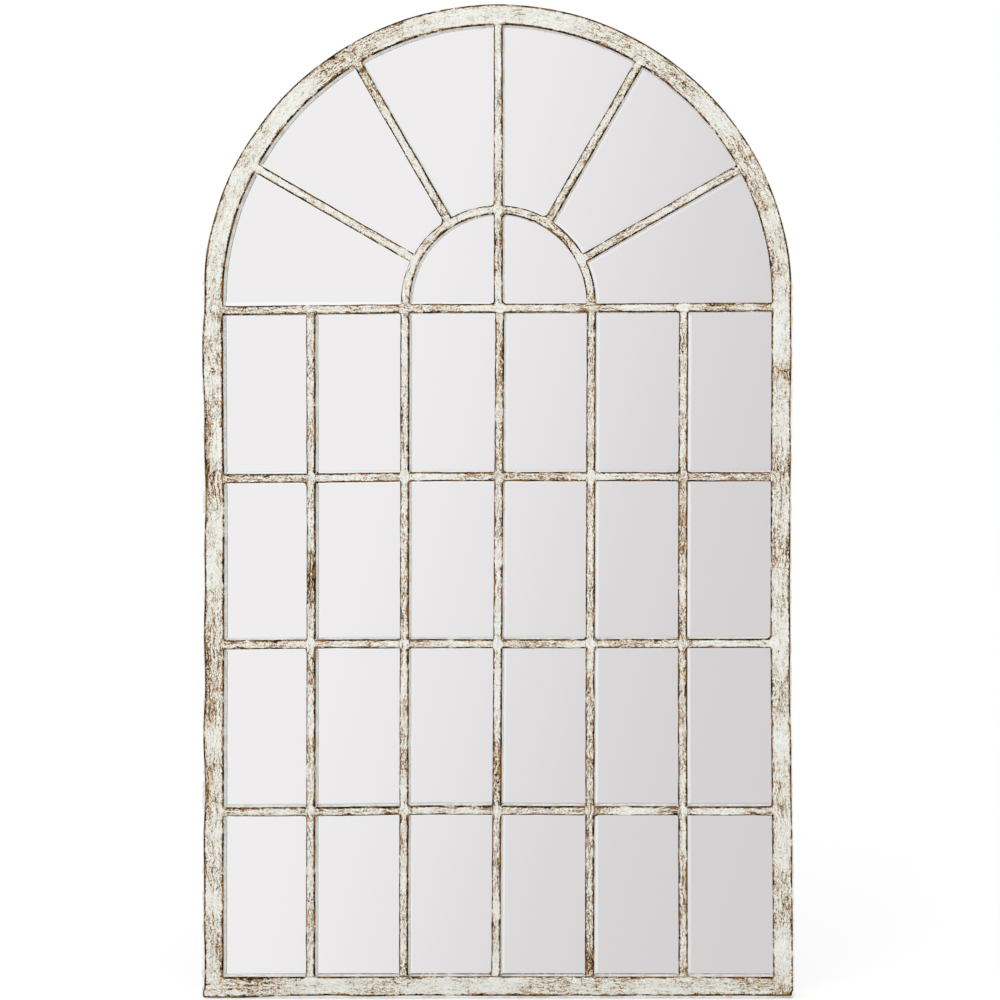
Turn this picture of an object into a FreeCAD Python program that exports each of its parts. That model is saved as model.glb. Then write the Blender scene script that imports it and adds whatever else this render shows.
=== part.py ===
import FreeCAD, Part
import Sketcher
import math
import os

# Arched window mirror: a welded iron window frame glazed with thirty-two bevelled mirror panes.
# Millimetres. +Z is up, +X is to the right seen from the front, and the front faces -Y.
# The wall plane is Y = 0. The origin is on it, at the centre of the arch's curve, level with the
# two wall hooks, so heights below the spring line are negative.

Vector = FreeCAD.Vector
ACROSS = Vector(1, 0, 0)
TO_WALL = Vector(0, 1, 0)
UP = Vector(0, 0, 1)

# Two places closer than this are one.
TOUCHING = 0.001

doc = FreeCAD.newDocument("ArchedWindowMirror")

# ---------------------------------------------------------------- driving dimensions

DIMENSIONS = (
    ("frame_width", 830, "overall width"),
    ("spring_height", 985, "bottom edge up to the centre of the arch"),
    ("frame_depth", 30, "front of the bars to the back edge of the rim"),
    ("frame_face", 30, "width of the outer members seen from the front"),
    ("frame_round", 3, "rounding of the outer members' front arrises"),
    ("rim_wall", 3, "thickness of the rim behind the face"),
    ("arch_leg", 100, "straight leg of the arch bar below the spring line"),
    ("bar_width", 14, "width of a glazing bar"),
    ("bar_depth", 8, "thickness of a glazing bar and of the outer members' face"),
    ("bar_round", 2.5, "rounding of a glazing bar's front arrises"),
    ("columns", 6, "panes across"),
    ("rows", 4, "panes up to the transom"),
    ("transom_drop", 12, "spring line down to the transom's centre line"),
    ("low_ray", 30, "angle of the lower rays above the level, in degrees"),
    ("high_ray", 60, "angle of the upper rays above the level, in degrees"),
    ("weld_leg", 5, "leg of a weld fillet in a corner"),
    ("weld_depth", 5, "thickness of a weld fillet"),
    ("glass_thickness", 4, "mirror glass"),
    ("bevel_width", 9, "width of the bevel"),
    ("bevel_drop", 1.2, "glass taken off at the pane's edge"),
    ("pane_lap", 4.5, "reach of a pane under the bars at each side"),
    ("bed_gap", 0.3, "bed of sealant between bar and glass"),
    ("board_thickness", 4, "backboard"),
    ("board_gap", 1, "backboard's edge to the rim"),
    ("lug_length", 24, "reach of a fixing lug from the rim"),
    ("lug_width", 16, "width of a fixing lug"),
    ("lug_thickness", 2, "thickness of a fixing lug"),
    ("lug_hole", 4.4, "diameter of a lug's screw hole"),
    ("side_lugs", 3, "fixing lugs on each stile"),
    ("lug_rise", 230, "height of the lowest side lugs above the bottom edge"),
    ("lug_pitch", 250, "spacing of the side lugs"),
    ("foot_lug_place", 200, "centre line out to a lug on the bottom rail"),
    ("low_lug_angle", 33, "angle of the lower arch lugs above the level, in degrees"),
    ("high_lug_angle", 70, "angle of the upper arch lugs above the level, in degrees"),
    ("screw_shank", 4, "diameter of a board screw"),
    ("screw_head", 7.5, "diameter of a board screw's head"),
    ("screw_head_height", 2.2, "height of a board screw's head"),
    ("screw_head_round", 0.7, "rounding of a board screw's head"),
    ("screw_slot", 1, "width and depth of the slot in the head"),
    ("screw_bite", 3, "length of a board screw in the board"),
    ("pilot_play", 0.1, "pilot hole's diameter over the screw's"),
    ("bracket_reach", 52, "reach of a hanger bracket from the rim"),
    ("bracket_drop", 17, "bracket below the ring's hinge line"),
    ("bracket_rise", 13, "bracket above the ring's hinge line"),
    ("bracket_thickness", 3, "thickness of a hanger bracket"),
    ("strap_width", 14, "width of a hanger strap"),
    ("strap_drop", 14, "strap below the ring's hinge line"),
    ("strap_thickness", 1.5, "thickness of the strip that the strap is folded from"),
    ("strap_place", 32, "rim to the middle of the strap"),
    ("ring_wire", 4, "diameter of the D-ring's wire"),
    ("ring_play", 0.3, "clearance round the wire in the strap's loop"),
    ("ring_bow", 12, "radius of the D-ring's bow, to the wire's centre"),
    ("ring_corner", 3.5, "radius of the D-ring's corners, to the wire's centre"),
    ("ring_length", 34, "hinge line to the top of the bow, to the wire's centre"),
    ("bumper_diameter", 16, "rubber bumper"),
    ("bumper_proud", 1.5, "bumpers stand behind the rim by this much"),
    ("bumper_inset", 24, "board's side to a bumper's centre"),
    ("low_bumper_rise", 50, "height of the lower bumpers above the bottom edge"),
    ("high_bumper_rise", 105, "height of the upper bumpers above the spring line"),
)

sheet = doc.addObject("Spreadsheet::Sheet", "Sizes")
for row, (alias, value, meaning) in enumerate(DIMENSIONS, start=1):
    sheet.set("A%d" % row, meaning)
    sheet.set("B%d" % row, str(value))
    sheet.setAlias("B%d" % row, alias)
doc.recompute()


def cell(alias):
    """Expression that reads one cell of the sheet."""
    return "Sizes." + alias


def size(expression):
    """Value of an expression over the sheet."""
    return float(sheet.evalExpression(str(expression)))


# ---------------------------------------------------------------- derived places, as expressions

HALF_WIDTH = "(Sizes.frame_width / 2)"
INNER_HALF = "(Sizes.frame_width / 2 - Sizes.frame_face)"
RIM_INNER = "(Sizes.frame_width / 2 - Sizes.rim_wall)"
BOARD_HALF = "(Sizes.frame_width / 2 - Sizes.rim_wall - Sizes.board_gap)"

# Distances from the wall plane towards the viewer.
RIM_BACK = "Sizes.bumper_proud"
FRONT = "(Sizes.bumper_proud + Sizes.frame_depth)"
BAR_BACK = "(Sizes.bumper_proud + Sizes.frame_depth - Sizes.bar_depth)"
GLASS_FRONT = "(%s - Sizes.bed_gap)" % BAR_BACK
GLASS_BACK = "(%s - Sizes.glass_thickness)" % GLASS_FRONT
BOARD_BACK = "(%s - Sizes.board_thickness)" % GLASS_BACK
BRACKET_BACK = "(%s - Sizes.bracket_thickness)" % BOARD_BACK

# Heights.
BOTTOM = "(-Sizes.spring_height)"
RAIL_TOP = "(Sizes.frame_face - Sizes.spring_height)"
LEG_FOOT = "(-Sizes.arch_leg)"
TRANSOM_TOP = "(Sizes.bar_width / 2 - Sizes.transom_drop)"
TRANSOM_UNDER = "(-Sizes.bar_width / 2 - Sizes.transom_drop)"

# The grid of panes.
OPENING_WIDTH = "((2 * %s - (Sizes.columns - 1) * Sizes.bar_width) / Sizes.columns)" % INNER_HALF
OPENING_HEIGHT = "((%s - %s - (Sizes.rows - 1) * Sizes.bar_width) / Sizes.rows)" % (TRANSOM_UNDER, RAIL_TOP)
COLUMN_PITCH = "(%s + Sizes.bar_width)" % OPENING_WIDTH
ROW_PITCH = "(%s + Sizes.bar_width)" % OPENING_HEIGHT
PANE_WIDTH = "(%s + 2 * Sizes.pane_lap)" % OPENING_WIDTH
PANE_HEIGHT = "(%s + 2 * Sizes.pane_lap)" % OPENING_HEIGHT

# The hub ring's feet stand over the second and the last but one mullion.
HUB_RADIUS = COLUMN_PITCH
HUB_OUTER = "(%s + Sizes.bar_width / 2)" % HUB_RADIUS
HUB_INNER = "(%s - Sizes.bar_width / 2)" % HUB_RADIUS

# Strap and ring.
LOOP_BORE = "(Sizes.ring_wire / 2 + Sizes.ring_play)"
LOOP_OUTER = "(%s + Sizes.strap_thickness)" % LOOP_BORE
HINGE_DEPTH = "(%s - %s)" % (BRACKET_BACK, LOOP_OUTER)
HINGE_HEIGHT = "(Sizes.ring_wire / 2 - Sizes.ring_length)"
STRAP_CENTRE = "(%s - Sizes.strap_place)" % RIM_INNER

nodes = []


def keep(piece):
    """List a finished sub-part for writing."""
    nodes.append(piece)
    return piece


# ---------------------------------------------------------------- sketches and bodies

def new_body(name, across="0", level="0", height="0"):
    """Body with its plane of origin at a distance from the wall, and at a place across and up."""
    body = doc.addObject("PartDesign::Body", name)
    body.Label = name
    body.setExpression("Placement.Base.x", across)
    body.setExpression("Placement.Base.y", "-(%s)" % level)
    body.setExpression("Placement.Base.z", height)
    return body


def front_sketch(body, name, offset="0"):
    """Sketch seen from the front, raised from the body's plane towards the viewer."""
    plane = [item for item in body.Origin.OriginFeatures if item.Role == "XZ_Plane"][0]
    sketch = body.newObject("Sketcher::SketchObject", name)
    sketch.AttachmentSupport = [(plane, "")]
    sketch.MapMode = "FlatFace"
    sketch.setExpression("AttachmentOffset.Base.z", offset)
    return sketch


def bind(sketch, constraint, expression):
    """Add a dimension to a sketch and bind it to the sheet."""
    index = sketch.addConstraint(constraint)
    sketch.setExpression("Constraints[%d]" % index, expression)


def draw_rectangle(sketch, left, right, low, high):
    """Rectangle whose four sides stand at the given expressions."""
    x0, x1, z0, z1 = size(left), size(right), size(low), size(high)
    corners = [Vector(x0, z0, 0), Vector(x1, z0, 0), Vector(x1, z1, 0), Vector(x0, z1, 0)]
    for start, end in zip(corners, corners[1:] + corners[:1]):
        sketch.addGeometry(Part.LineSegment(start, end))
    for side in range(4):
        sketch.addConstraint(Sketcher.Constraint("Coincident", side, 2, (side + 1) % 4, 1))
    for side in (0, 2):
        sketch.addConstraint(Sketcher.Constraint("Horizontal", side))
        sketch.addConstraint(Sketcher.Constraint("Vertical", side + 1))
    bind(sketch, Sketcher.Constraint("DistanceX", -1, 1, 0, 1, x0), left)
    bind(sketch, Sketcher.Constraint("DistanceX", -1, 1, 1, 1, x1), right)
    bind(sketch, Sketcher.Constraint("DistanceY", -1, 1, 0, 1, z0), low)
    bind(sketch, Sketcher.Constraint("DistanceY", -1, 1, 2, 1, z1), high)


def draw_arch(sketch, radius, foot, inner=None):
    """Arch outline on straight legs: a band when an inner radius is given, else a closed panel."""
    r, z = size(radius), size(foot)
    arcs = [sketch.addGeometry(half_circle(r))]
    left = sketch.addGeometry(Part.LineSegment(Vector(-r, 0, 0), Vector(-r, z, 0)))
    right = sketch.addGeometry(Part.LineSegment(Vector(r, 0, 0), Vector(r, z, 0)))
    sides = [left, right]
    sketch.addConstraint(Sketcher.Constraint("Coincident", arcs[0], 2, left, 1))
    sketch.addConstraint(Sketcher.Constraint("Coincident", arcs[0], 1, right, 1))
    if inner is None:
        feet = [sketch.addGeometry(Part.LineSegment(Vector(-r, z, 0), Vector(r, z, 0)))]
        sketch.addConstraint(Sketcher.Constraint("Coincident", left, 2, feet[0], 1))
        sketch.addConstraint(Sketcher.Constraint("Coincident", feet[0], 2, right, 2))
    else:
        q = size(inner)
        arcs.append(sketch.addGeometry(half_circle(q)))
        feet = []
        for side, outer_line, end in ((-1, left, 2), (1, right, 1)):
            line = sketch.addGeometry(Part.LineSegment(Vector(side * q, 0, 0), Vector(side * q, z, 0)))
            foot_line = sketch.addGeometry(
                Part.LineSegment(Vector(side * r, z, 0), Vector(side * q, z, 0)))
            sketch.addConstraint(Sketcher.Constraint("Coincident", arcs[1], end, line, 1))
            sketch.addConstraint(Sketcher.Constraint("Coincident", outer_line, 2, foot_line, 1))
            sketch.addConstraint(Sketcher.Constraint("Coincident", foot_line, 2, line, 2))
            sides.append(line)
            feet.append(foot_line)
    for arc, value, expression in zip(arcs, (r, inner and size(inner)), (radius, inner)):
        sketch.addConstraint(Sketcher.Constraint("Coincident", arc, 3, -1, 1))
        sketch.addConstraint(Sketcher.Constraint("PointOnObject", arc, 1, -1))
        sketch.addConstraint(Sketcher.Constraint("PointOnObject", arc, 2, -1))
        bind(sketch, Sketcher.Constraint("Radius", arc, value), expression)
    for line in sides:
        sketch.addConstraint(Sketcher.Constraint("Vertical", line))
    for line in feet:
        sketch.addConstraint(Sketcher.Constraint("Horizontal", line))
        bind(sketch, Sketcher.Constraint("DistanceY", -1, 1, line, 1, z), foot)


def half_circle(radius):
    """Upper half circle about the sketch's origin."""
    return Part.ArcOfCircle(Part.Circle(Vector(0, 0, 0), UP, radius), 0, math.pi)


def pad(body, sketch, length, name="Pad"):
    """Extrude a front sketch towards the viewer."""
    feature = body.newObject("PartDesign::Pad", name)
    feature.Profile = sketch
    feature.setExpression("Length", length)
    doc.recompute()
    return feature


# A member's long arrises are longer than its ends by at least this factor.
LONG_EDGE = 1.5


def round_front(body, feature, radius):
    """Round the front arrises that run along a member, and leave its short end arrises sharp."""
    front = feature.Shape.BoundBox.YMin
    in_front = {}
    for index, edge in enumerate(feature.Shape.Edges, start=1):
        if edge.BoundBox.YMax < front + TOUCHING:
            in_front["Edge%d" % index] = edge.Length
    shortest = min(in_front.values())
    names = [name for name, length in in_front.items() if length > shortest * LONG_EDGE]
    fillet = body.newObject("PartDesign::Fillet", "Arrises")
    fillet.Base = (feature, names)
    fillet.setExpression("Radius", radius)
    doc.recompute()
    return fillet


# ---------------------------------------------------------------- outer frame, an angle section

WALL_DEPTH = "(Sizes.frame_depth - Sizes.bar_depth)"


def angle_member(name, draw_wall, draw_face):
    """Outer member: a rim wall behind a face, with the face's arrises rounded."""
    body = new_body(name, level=RIM_BACK)
    wall = front_sketch(body, "WallOutline")
    draw_wall(wall)
    pad(body, wall, WALL_DEPTH, "Wall")
    face = front_sketch(body, "FaceOutline", WALL_DEPTH)
    draw_face(face)
    round_front(body, pad(body, face, cell("bar_depth"), "Face"), cell("frame_round"))
    return keep(body)


angle_member(
    "arch_bar",
    lambda sketch: draw_arch(sketch, HALF_WIDTH, LEG_FOOT, RIM_INNER),
    lambda sketch: draw_arch(sketch, HALF_WIDTH, LEG_FOOT, INNER_HALF))

# The left stile stands on the bottom rail, and the rail's end meets the right stile's side.
RAIL_WALL_TOP = "(Sizes.rim_wall - Sizes.spring_height)"
angle_member(
    "left_stile",
    lambda sketch: draw_rectangle(sketch, "-" + HALF_WIDTH, "-" + RIM_INNER, RAIL_WALL_TOP, LEG_FOOT),
    lambda sketch: draw_rectangle(sketch, "-" + HALF_WIDTH, "-" + INNER_HALF, RAIL_TOP, LEG_FOOT))
angle_member(
    "right_stile",
    lambda sketch: draw_rectangle(sketch, RIM_INNER, HALF_WIDTH, BOTTOM, LEG_FOOT),
    lambda sketch: draw_rectangle(sketch, INNER_HALF, HALF_WIDTH, BOTTOM, LEG_FOOT))
angle_member(
    "bottom_rail",
    lambda sketch: draw_rectangle(sketch, "-" + HALF_WIDTH, RIM_INNER, BOTTOM, RAIL_WALL_TOP),
    lambda sketch: draw_rectangle(sketch, "-" + HALF_WIDTH, INNER_HALF, BOTTOM, RAIL_TOP))


# ---------------------------------------------------------------- glazing bars

def glazing_bar(name, left, right, low, high, across="0", height="0"):
    """Flat bar with rounded front arrises; its outline is about the body's own origin."""
    body = new_body(name, across, BAR_BACK, height)
    outline = front_sketch(body, "Outline")
    draw_rectangle(outline, left, right, low, high)
    round_front(body, pad(body, outline, cell("bar_depth")), cell("bar_round"))
    return keep(body)


HALF_BAR = "(Sizes.bar_width / 2)"
glazing_bar("transom", "-" + INNER_HALF, INNER_HALF, "-" + HALF_BAR, HALF_BAR,
            height="-" + cell("transom_drop"))

column_count = int(size(cell("columns")))
row_count = int(size(cell("rows")))

for number in range(1, column_count):
    place = "(-%s + %d * %s - %s)" % (INNER_HALF, number, COLUMN_PITCH, HALF_BAR)
    glazing_bar("mullion_%d" % number, "-" + HALF_BAR, HALF_BAR, RAIL_TOP, TRANSOM_UNDER, across=place)

# Each row of crossbars is one short bar and its copies, one in each column.
for number in range(1, row_count):
    place = "(%s + %d * %s - %s)" % (RAIL_TOP, number, ROW_PITCH, HALF_BAR)
    crossbars = glazing_bar("crossbars_row_%d" % number, "-" + INNER_HALF,
                            "(%s - %s)" % (OPENING_WIDTH, INNER_HALF), "-" + HALF_BAR, HALF_BAR,
                            height=place)
    outline, bar, arrises = crossbars.Group
    copies = crossbars.newObject("PartDesign::LinearPattern", "Copies")
    copies.Originals = [bar, arrises]
    copies.Direction = (outline, ["H_Axis"])
    copies.setExpression("Occurrences", cell("columns"))
    copies.setExpression("Length", "(Sizes.columns - 1) * " + COLUMN_PITCH)
    crossbars.Tip = copies
    doc.recompute()


# ---------------------------------------------------------------- fan bars

def draw_quarter_ring(sketch, outer, inner, cut):
    """Quarter of a ring about the sketch's origin, cut off upright at its top end."""
    x = size(cut)
    arcs = []
    for expression in (outer, inner):
        radius = size(expression)
        circle = Part.Circle(Vector(0, 0, 0), UP, radius)
        arc = sketch.addGeometry(Part.ArcOfCircle(circle, 0, math.acos(x / radius)))
        sketch.addConstraint(Sketcher.Constraint("Coincident", arc, 3, -1, 1))
        sketch.addConstraint(Sketcher.Constraint("PointOnObject", arc, 1, -1))
        bind(sketch, Sketcher.Constraint("Radius", arc, radius), expression)
        arcs.append(arc)
    ends = [(sketch.Geometry[arc].StartPoint, sketch.Geometry[arc].EndPoint) for arc in arcs]
    foot = sketch.addGeometry(Part.LineSegment(ends[0][0], ends[1][0]))
    top = sketch.addGeometry(Part.LineSegment(ends[0][1], ends[1][1]))
    for line, end in ((foot, 1), (top, 2)):
        sketch.addConstraint(Sketcher.Constraint("Coincident", line, 1, arcs[0], end))
        sketch.addConstraint(Sketcher.Constraint("Coincident", line, 2, arcs[1], end))
    sketch.addConstraint(Sketcher.Constraint("Vertical", top))
    bind(sketch, Sketcher.Constraint("DistanceX", -1, 1, top, 1, x), cut)


# The hub ring is two quarter pieces, one at each side of the centre bar.
hub_ring = new_body("hub_ring", level=BAR_BACK, height=TRANSOM_TOP)
quarter = front_sketch(hub_ring, "Quarter")
draw_quarter_ring(quarter, HUB_OUTER, HUB_INNER, HALF_BAR)
quarter_bar = pad(hub_ring, quarter, cell("bar_depth"))
quarter_arrises = round_front(hub_ring, quarter_bar, cell("bar_round"))
both = hub_ring.newObject("PartDesign::Mirrored", "Both")
both.Originals = [quarter_bar, quarter_arrises]
both.MirrorPlane = (quarter, ["V_Axis"])
hub_ring.Tip = both
doc.recompute()
keep(hub_ring)

CENTRE_BAR_TOP = "sqrt(%s ^ 2 - %s ^ 2)" % (INNER_HALF, HALF_BAR)
glazing_bar("centre_bar", "-" + HALF_BAR, HALF_BAR, TRANSOM_TOP, CENTRE_BAR_TOP)

# The rays run out from the middle of the transom's centre line, between the hub ring and the arch.
# The hub ring's centre is half a bar above that line.
def ray_start(angle):
    """Distance along a ray to the outside of the hub ring."""
    return "(%s * sin(%s) + sqrt(%s ^ 2 - (%s * cos(%s)) ^ 2))" % (
        HALF_BAR, angle, HUB_OUTER, HALF_BAR, angle)


def ray_end(angle):
    """Distance along a ray to where its first corner meets the inside of the arch."""
    corner_offset = "(Sizes.transom_drop * abs(cos(%s)) + %s)" % (angle, HALF_BAR)
    return "(Sizes.transom_drop * sin(%s) + sqrt(%s ^ 2 - %s ^ 2))" % (angle, INNER_HALF, corner_offset)


RAY_ANGLES = [
    "(Sizes.low_ray * 1 deg)",
    "(Sizes.high_ray * 1 deg)",
    "(180 deg - Sizes.high_ray * 1 deg)",
    "(180 deg - Sizes.low_ray * 1 deg)",
]
for number, angle in enumerate(RAY_ANGLES, start=1):
    ray = glazing_bar("fan_ray_%d" % number, "-" + HALF_BAR, HALF_BAR, ray_start(angle), ray_end(angle),
                      height="-" + cell("transom_drop"))
    ray.Placement.Rotation = FreeCAD.Rotation(TO_WALL, 0)
    ray.setExpression("Placement.Rotation.Axis.x", "0")
    ray.setExpression("Placement.Rotation.Axis.y", "1")
    ray.setExpression("Placement.Rotation.Axis.z", "0")
    ray.setExpression("Placement.Rotation.Angle", "90 deg - " + angle)
doc.recompute()


# ---------------------------------------------------------------- shapes worked out in code

def shaped(name, shape, place=Vector()):
    """Sub-part whose shape is worked out from the sheet by the functions below."""
    piece = doc.addObject("Part::Feature", name)
    piece.Label = name
    piece.Shape = shape
    piece.Placement = FreeCAD.Placement(place, FreeCAD.Rotation())
    return keep(piece)


def at(across, level, height):
    """Point at a distance from the wall plane."""
    return Vector(across, -level, height)


half_bar = size(HALF_BAR)
inner_half = size(INNER_HALF)
rim_inner = size(RIM_INNER)
transom_top = size(TRANSOM_TOP)
transom_line = -size(cell("transom_drop"))
bar_back = size(BAR_BACK)
board_back = size(BOARD_BACK)
glass_front = size(GLASS_FRONT)
glass_back = size(GLASS_BACK)


def weld_fillet(across, height, side, rise):
    """Hollow-faced weld in the corner between two bars; side and rise say which way it opens."""
    leg = size(cell("weld_leg"))
    hollow = leg * (1 - math.sqrt(0.5))
    corner = at(across, bar_back, height)
    foot = corner + Vector(side * leg, 0, 0)
    head = corner + Vector(0, 0, rise * leg)
    middle = corner + Vector(side * hollow, 0, rise * hollow)
    edges = [Part.LineSegment(corner, foot).toShape(), Part.Arc(foot, middle, head).toShape(),
             Part.LineSegment(head, corner).toShape()]
    return Part.Face(Part.Wire(edges)).extrude(Vector(0, -size(cell("weld_depth")), 0))


welds = []
for column in range(1, column_count):
    across = -inner_half + column * size(COLUMN_PITCH) - half_bar
    for row in range(1, row_count):
        height = size(RAIL_TOP) + row * size(ROW_PITCH) - half_bar
        for side in (-1, 1):
            for rise in (-1, 1):
                welds.append(weld_fillet(across + side * half_bar, height + rise * half_bar, side, rise))
shaped("weld_fillets", Part.Compound(welds))


# ---------------------------------------------------------------- rectangular panes

BEVEL_EDGE = "(Sizes.glass_thickness - Sizes.bevel_drop)"
BEVEL_SLOPE = "-atan(Sizes.bevel_width / Sizes.bevel_drop)"


def rectangular_pane(name, across, height):
    """Mirror pane with a bevel all round its front."""
    pane = new_body(name, across, GLASS_BACK, height)
    half_width = "(%s / 2)" % PANE_WIDTH
    half_height = "(%s / 2)" % PANE_HEIGHT
    for feature, length, offset in (("Blank", BEVEL_EDGE, "0"), ("Bevel", cell("bevel_drop"), BEVEL_EDGE)):
        outline = front_sketch(pane, feature + "Outline", offset)
        draw_rectangle(outline, "-" + half_width, half_width, "-" + half_height, half_height)
        block = pad(pane, outline, length, feature)
    block.setExpression("TaperAngle", BEVEL_SLOPE)
    return keep(pane)


# Row 1 is the top row, under the transom, and column 1 is on the left.
for row in range(1, row_count + 1):
    for column in range(1, column_count + 1):
        across = "(%s / 2 - %s + %d * %s)" % (OPENING_WIDTH, INNER_HALF, column - 1, COLUMN_PITCH)
        height = "(%s - %s / 2 - %d * %s)" % (TRANSOM_UNDER, OPENING_HEIGHT, row - 1, ROW_PITCH)
        rectangular_pane("pane_row%d_column%d" % (row, column), across, height)


# ---------------------------------------------------------------- fan and hub panes

ray_root = Vector(0, 0, transom_line)
arch_centre = Vector(0, 0, 0)
hub_centre = Vector(0, 0, transom_top)


def bar_side(angle, upper, reach):
    """A point and the direction of the line that bounds a pane, reaching under the bar at an angle."""
    along = Vector(math.cos(angle), 0, math.sin(angle))
    inwards = Vector(-math.sin(angle), 0, math.cos(angle)) * (-1 if upper else 1)
    return ray_root + inwards * (half_bar - reach), along


def meet_circle(line, centre, radius):
    """Point where a bounding line leaves a circle."""
    start, along = line
    offset = start - centre
    run = offset.dot(along)
    return start + along * (math.sqrt(run ** 2 - offset.dot(offset) + radius ** 2) - run)


def arc_between(start, end, centre, radius):
    """Arc about a centre, the short way."""
    middle = centre + ((start + end) * 0.5 - centre).normalize() * radius
    return Part.Arc(start, middle, end).toShape()


def fan_outline(low, high, reach):
    """Outline of a pane between the hub ring and the arch."""
    lines = [bar_side(low, False, reach), bar_side(high, True, reach)]
    hub_radius = size(HUB_OUTER) - reach
    arch_radius = inner_half + reach
    near = [meet_circle(line, hub_centre, hub_radius) for line in lines]
    far = [meet_circle(line, arch_centre, arch_radius) for line in lines]
    return Part.Wire([
        Part.LineSegment(near[0], far[0]).toShape(),
        arc_between(far[0], far[1], arch_centre, arch_radius),
        Part.LineSegment(far[1], near[1]).toShape(),
        arc_between(near[1], near[0], hub_centre, hub_radius)])


def hub_outline(low, high, reach):
    """Outline of a pane inside the hub ring."""
    lines = [bar_side(low, False, reach), bar_side(high, True, reach)]
    radius = size(HUB_INNER) + reach
    far = [meet_circle(line, hub_centre, radius) for line in lines]
    corner = ray_root + (lines[0][0] - ray_root) + (lines[1][0] - ray_root)
    return Part.Wire([
        Part.LineSegment(corner, far[0]).toShape(),
        arc_between(far[0], far[1], hub_centre, radius),
        Part.LineSegment(far[1], corner).toShape()])


def curved_pane(name, outline, low, high):
    """Bevelled pane whose outline is a function of its reach under the bars."""
    lap = size(cell("pane_lap"))
    edge_level = glass_back + size(BEVEL_EDGE)
    rim = outline(low, high, lap)
    flat = outline(low, high, lap - size(cell("bevel_width")))
    blank = Part.Face(rim.translated(at(0, glass_back, 0))).extrude(Vector(0, glass_back - edge_level, 0))
    sections = [rim.translated(at(0, edge_level, 0)), flat.translated(at(0, glass_front, 0))]
    bevel = Part.makeLoft(sections, True, True)
    return shaped(name, blank.fuse(bevel).removeSplitter())


BAR_ANGLES = ["0 deg"] + RAY_ANGLES[:2] + ["90 deg"] + RAY_ANGLES[2:] + ["180 deg"]
angles = [math.radians(size(angle)) for angle in BAR_ANGLES]
for number, (low, high) in enumerate(zip(angles, angles[1:]), start=1):
    curved_pane("fan_pane_%d" % number, fan_outline, low, high)
curved_pane("hub_pane_right", hub_outline, angles[0], angles[3])
curved_pane("hub_pane_left", hub_outline, angles[3], angles[6])


# ---------------------------------------------------------------- backboard and its fixings

bottom = size(BOTTOM)
lug_width = size(cell("lug_width"))
hole_reach = size(cell("lug_length")) - lug_width / 2


def lug_sites():
    """Root on the rim and inward direction of each fixing lug."""
    sites = []
    for side in (-1, 1):
        inwards = Vector(-side, 0, 0)
        for step in range(int(size(cell("side_lugs")))):
            height = bottom + size(cell("lug_rise")) + step * size(cell("lug_pitch"))
            sites.append((at(side * rim_inner, board_back, height), inwards))
        foot_place = side * size(cell("foot_lug_place"))
        sites.append((at(foot_place, board_back, size(RAIL_WALL_TOP)), UP))
        for angle in (cell("low_lug_angle"), cell("high_lug_angle")):
            turn = math.radians(size(angle))
            outwards = Vector(side * math.cos(turn), 0, math.sin(turn))
            chord = math.sqrt(rim_inner ** 2 - (lug_width / 2) ** 2)
            sites.append((at(0, board_back, 0) + outwards * chord, outwards * -1))
    return sites


SITES = lug_sites()


def at_site(shape, site):
    """Copy of a shape drawn along +X from the origin, set at a lug's root."""
    root, inwards = site
    placed = shape.copy()
    turn = FreeCAD.Rotation(inwards, TO_WALL, inwards.cross(TO_WALL), "XYZ")
    placed.Placement = FreeCAD.Placement(root, turn)
    return placed


def lug_blank():
    """Round-ended tab with a screw hole, lying on the backboard."""
    thickness = size(cell("lug_thickness"))
    tab = Part.makeBox(hole_reach, thickness, lug_width, Vector(0, 0, -lug_width / 2))
    hole_centre = Vector(hole_reach, 0, 0)
    tip = Part.makeCylinder(lug_width / 2, thickness, hole_centre, TO_WALL)
    hole = Part.makeCylinder(size(cell("lug_hole")) / 2, thickness, hole_centre, TO_WALL)
    return tab.fuse(tip).removeSplitter().cut(hole)


def screw_blank():
    """Slotted pan-head screw through a lug's hole into the backboard."""
    thickness = size(cell("lug_thickness"))
    head_height = size(cell("screw_head_height"))
    slot = size(cell("screw_slot"))
    head_radius = size(cell("screw_head")) / 2
    length = thickness + size(cell("screw_bite"))
    centre = Vector(hole_reach, thickness, 0)
    head = Part.makeCylinder(head_radius, head_height, centre, TO_WALL)
    crown = [edge for edge in head.Edges if edge.BoundBox.YMin > thickness + head_height - TOUCHING]
    head = head.makeFillet(size(cell("screw_head_round")), crown)
    shank = Part.makeCylinder(size(cell("screw_shank")) / 2, length, centre, TO_WALL * -1)
    cutter = Part.makeBox(2 * head_radius, slot, slot,
                          centre + Vector(-head_radius, head_height - slot, -slot / 2))
    return head.fuse(shank).removeSplitter().cut(cutter)


def pilot_hole():
    """Hole in the backboard for one screw."""
    radius = (size(cell("screw_shank")) + size(cell("pilot_play"))) / 2
    return Part.makeCylinder(radius, size(cell("screw_bite")), Vector(hole_reach, 0, 0), TO_WALL * -1)


panel = new_body("backboard_panel", level=BOARD_BACK)
panel_outline = front_sketch(panel, "Outline")
draw_arch(panel_outline, BOARD_HALF, "(%s + Sizes.board_gap)" % RAIL_WALL_TOP)
pad(panel, panel_outline, cell("board_thickness"))
pilots = doc.addObject("Part::Feature", "pilot_holes")
pilots.Shape = Part.Compound([at_site(pilot_hole(), site) for site in SITES])
backboard = doc.addObject("Part::Cut", "backboard")
backboard.Label = "backboard"
backboard.Base = panel
backboard.Tool = pilots
keep(backboard)

shaped("fixing_lugs", Part.Compound([at_site(lug_blank(), site) for site in SITES]))
shaped("board_screws", Part.Compound([at_site(screw_blank(), site) for site in SITES]))


# ---------------------------------------------------------------- hangers

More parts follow.
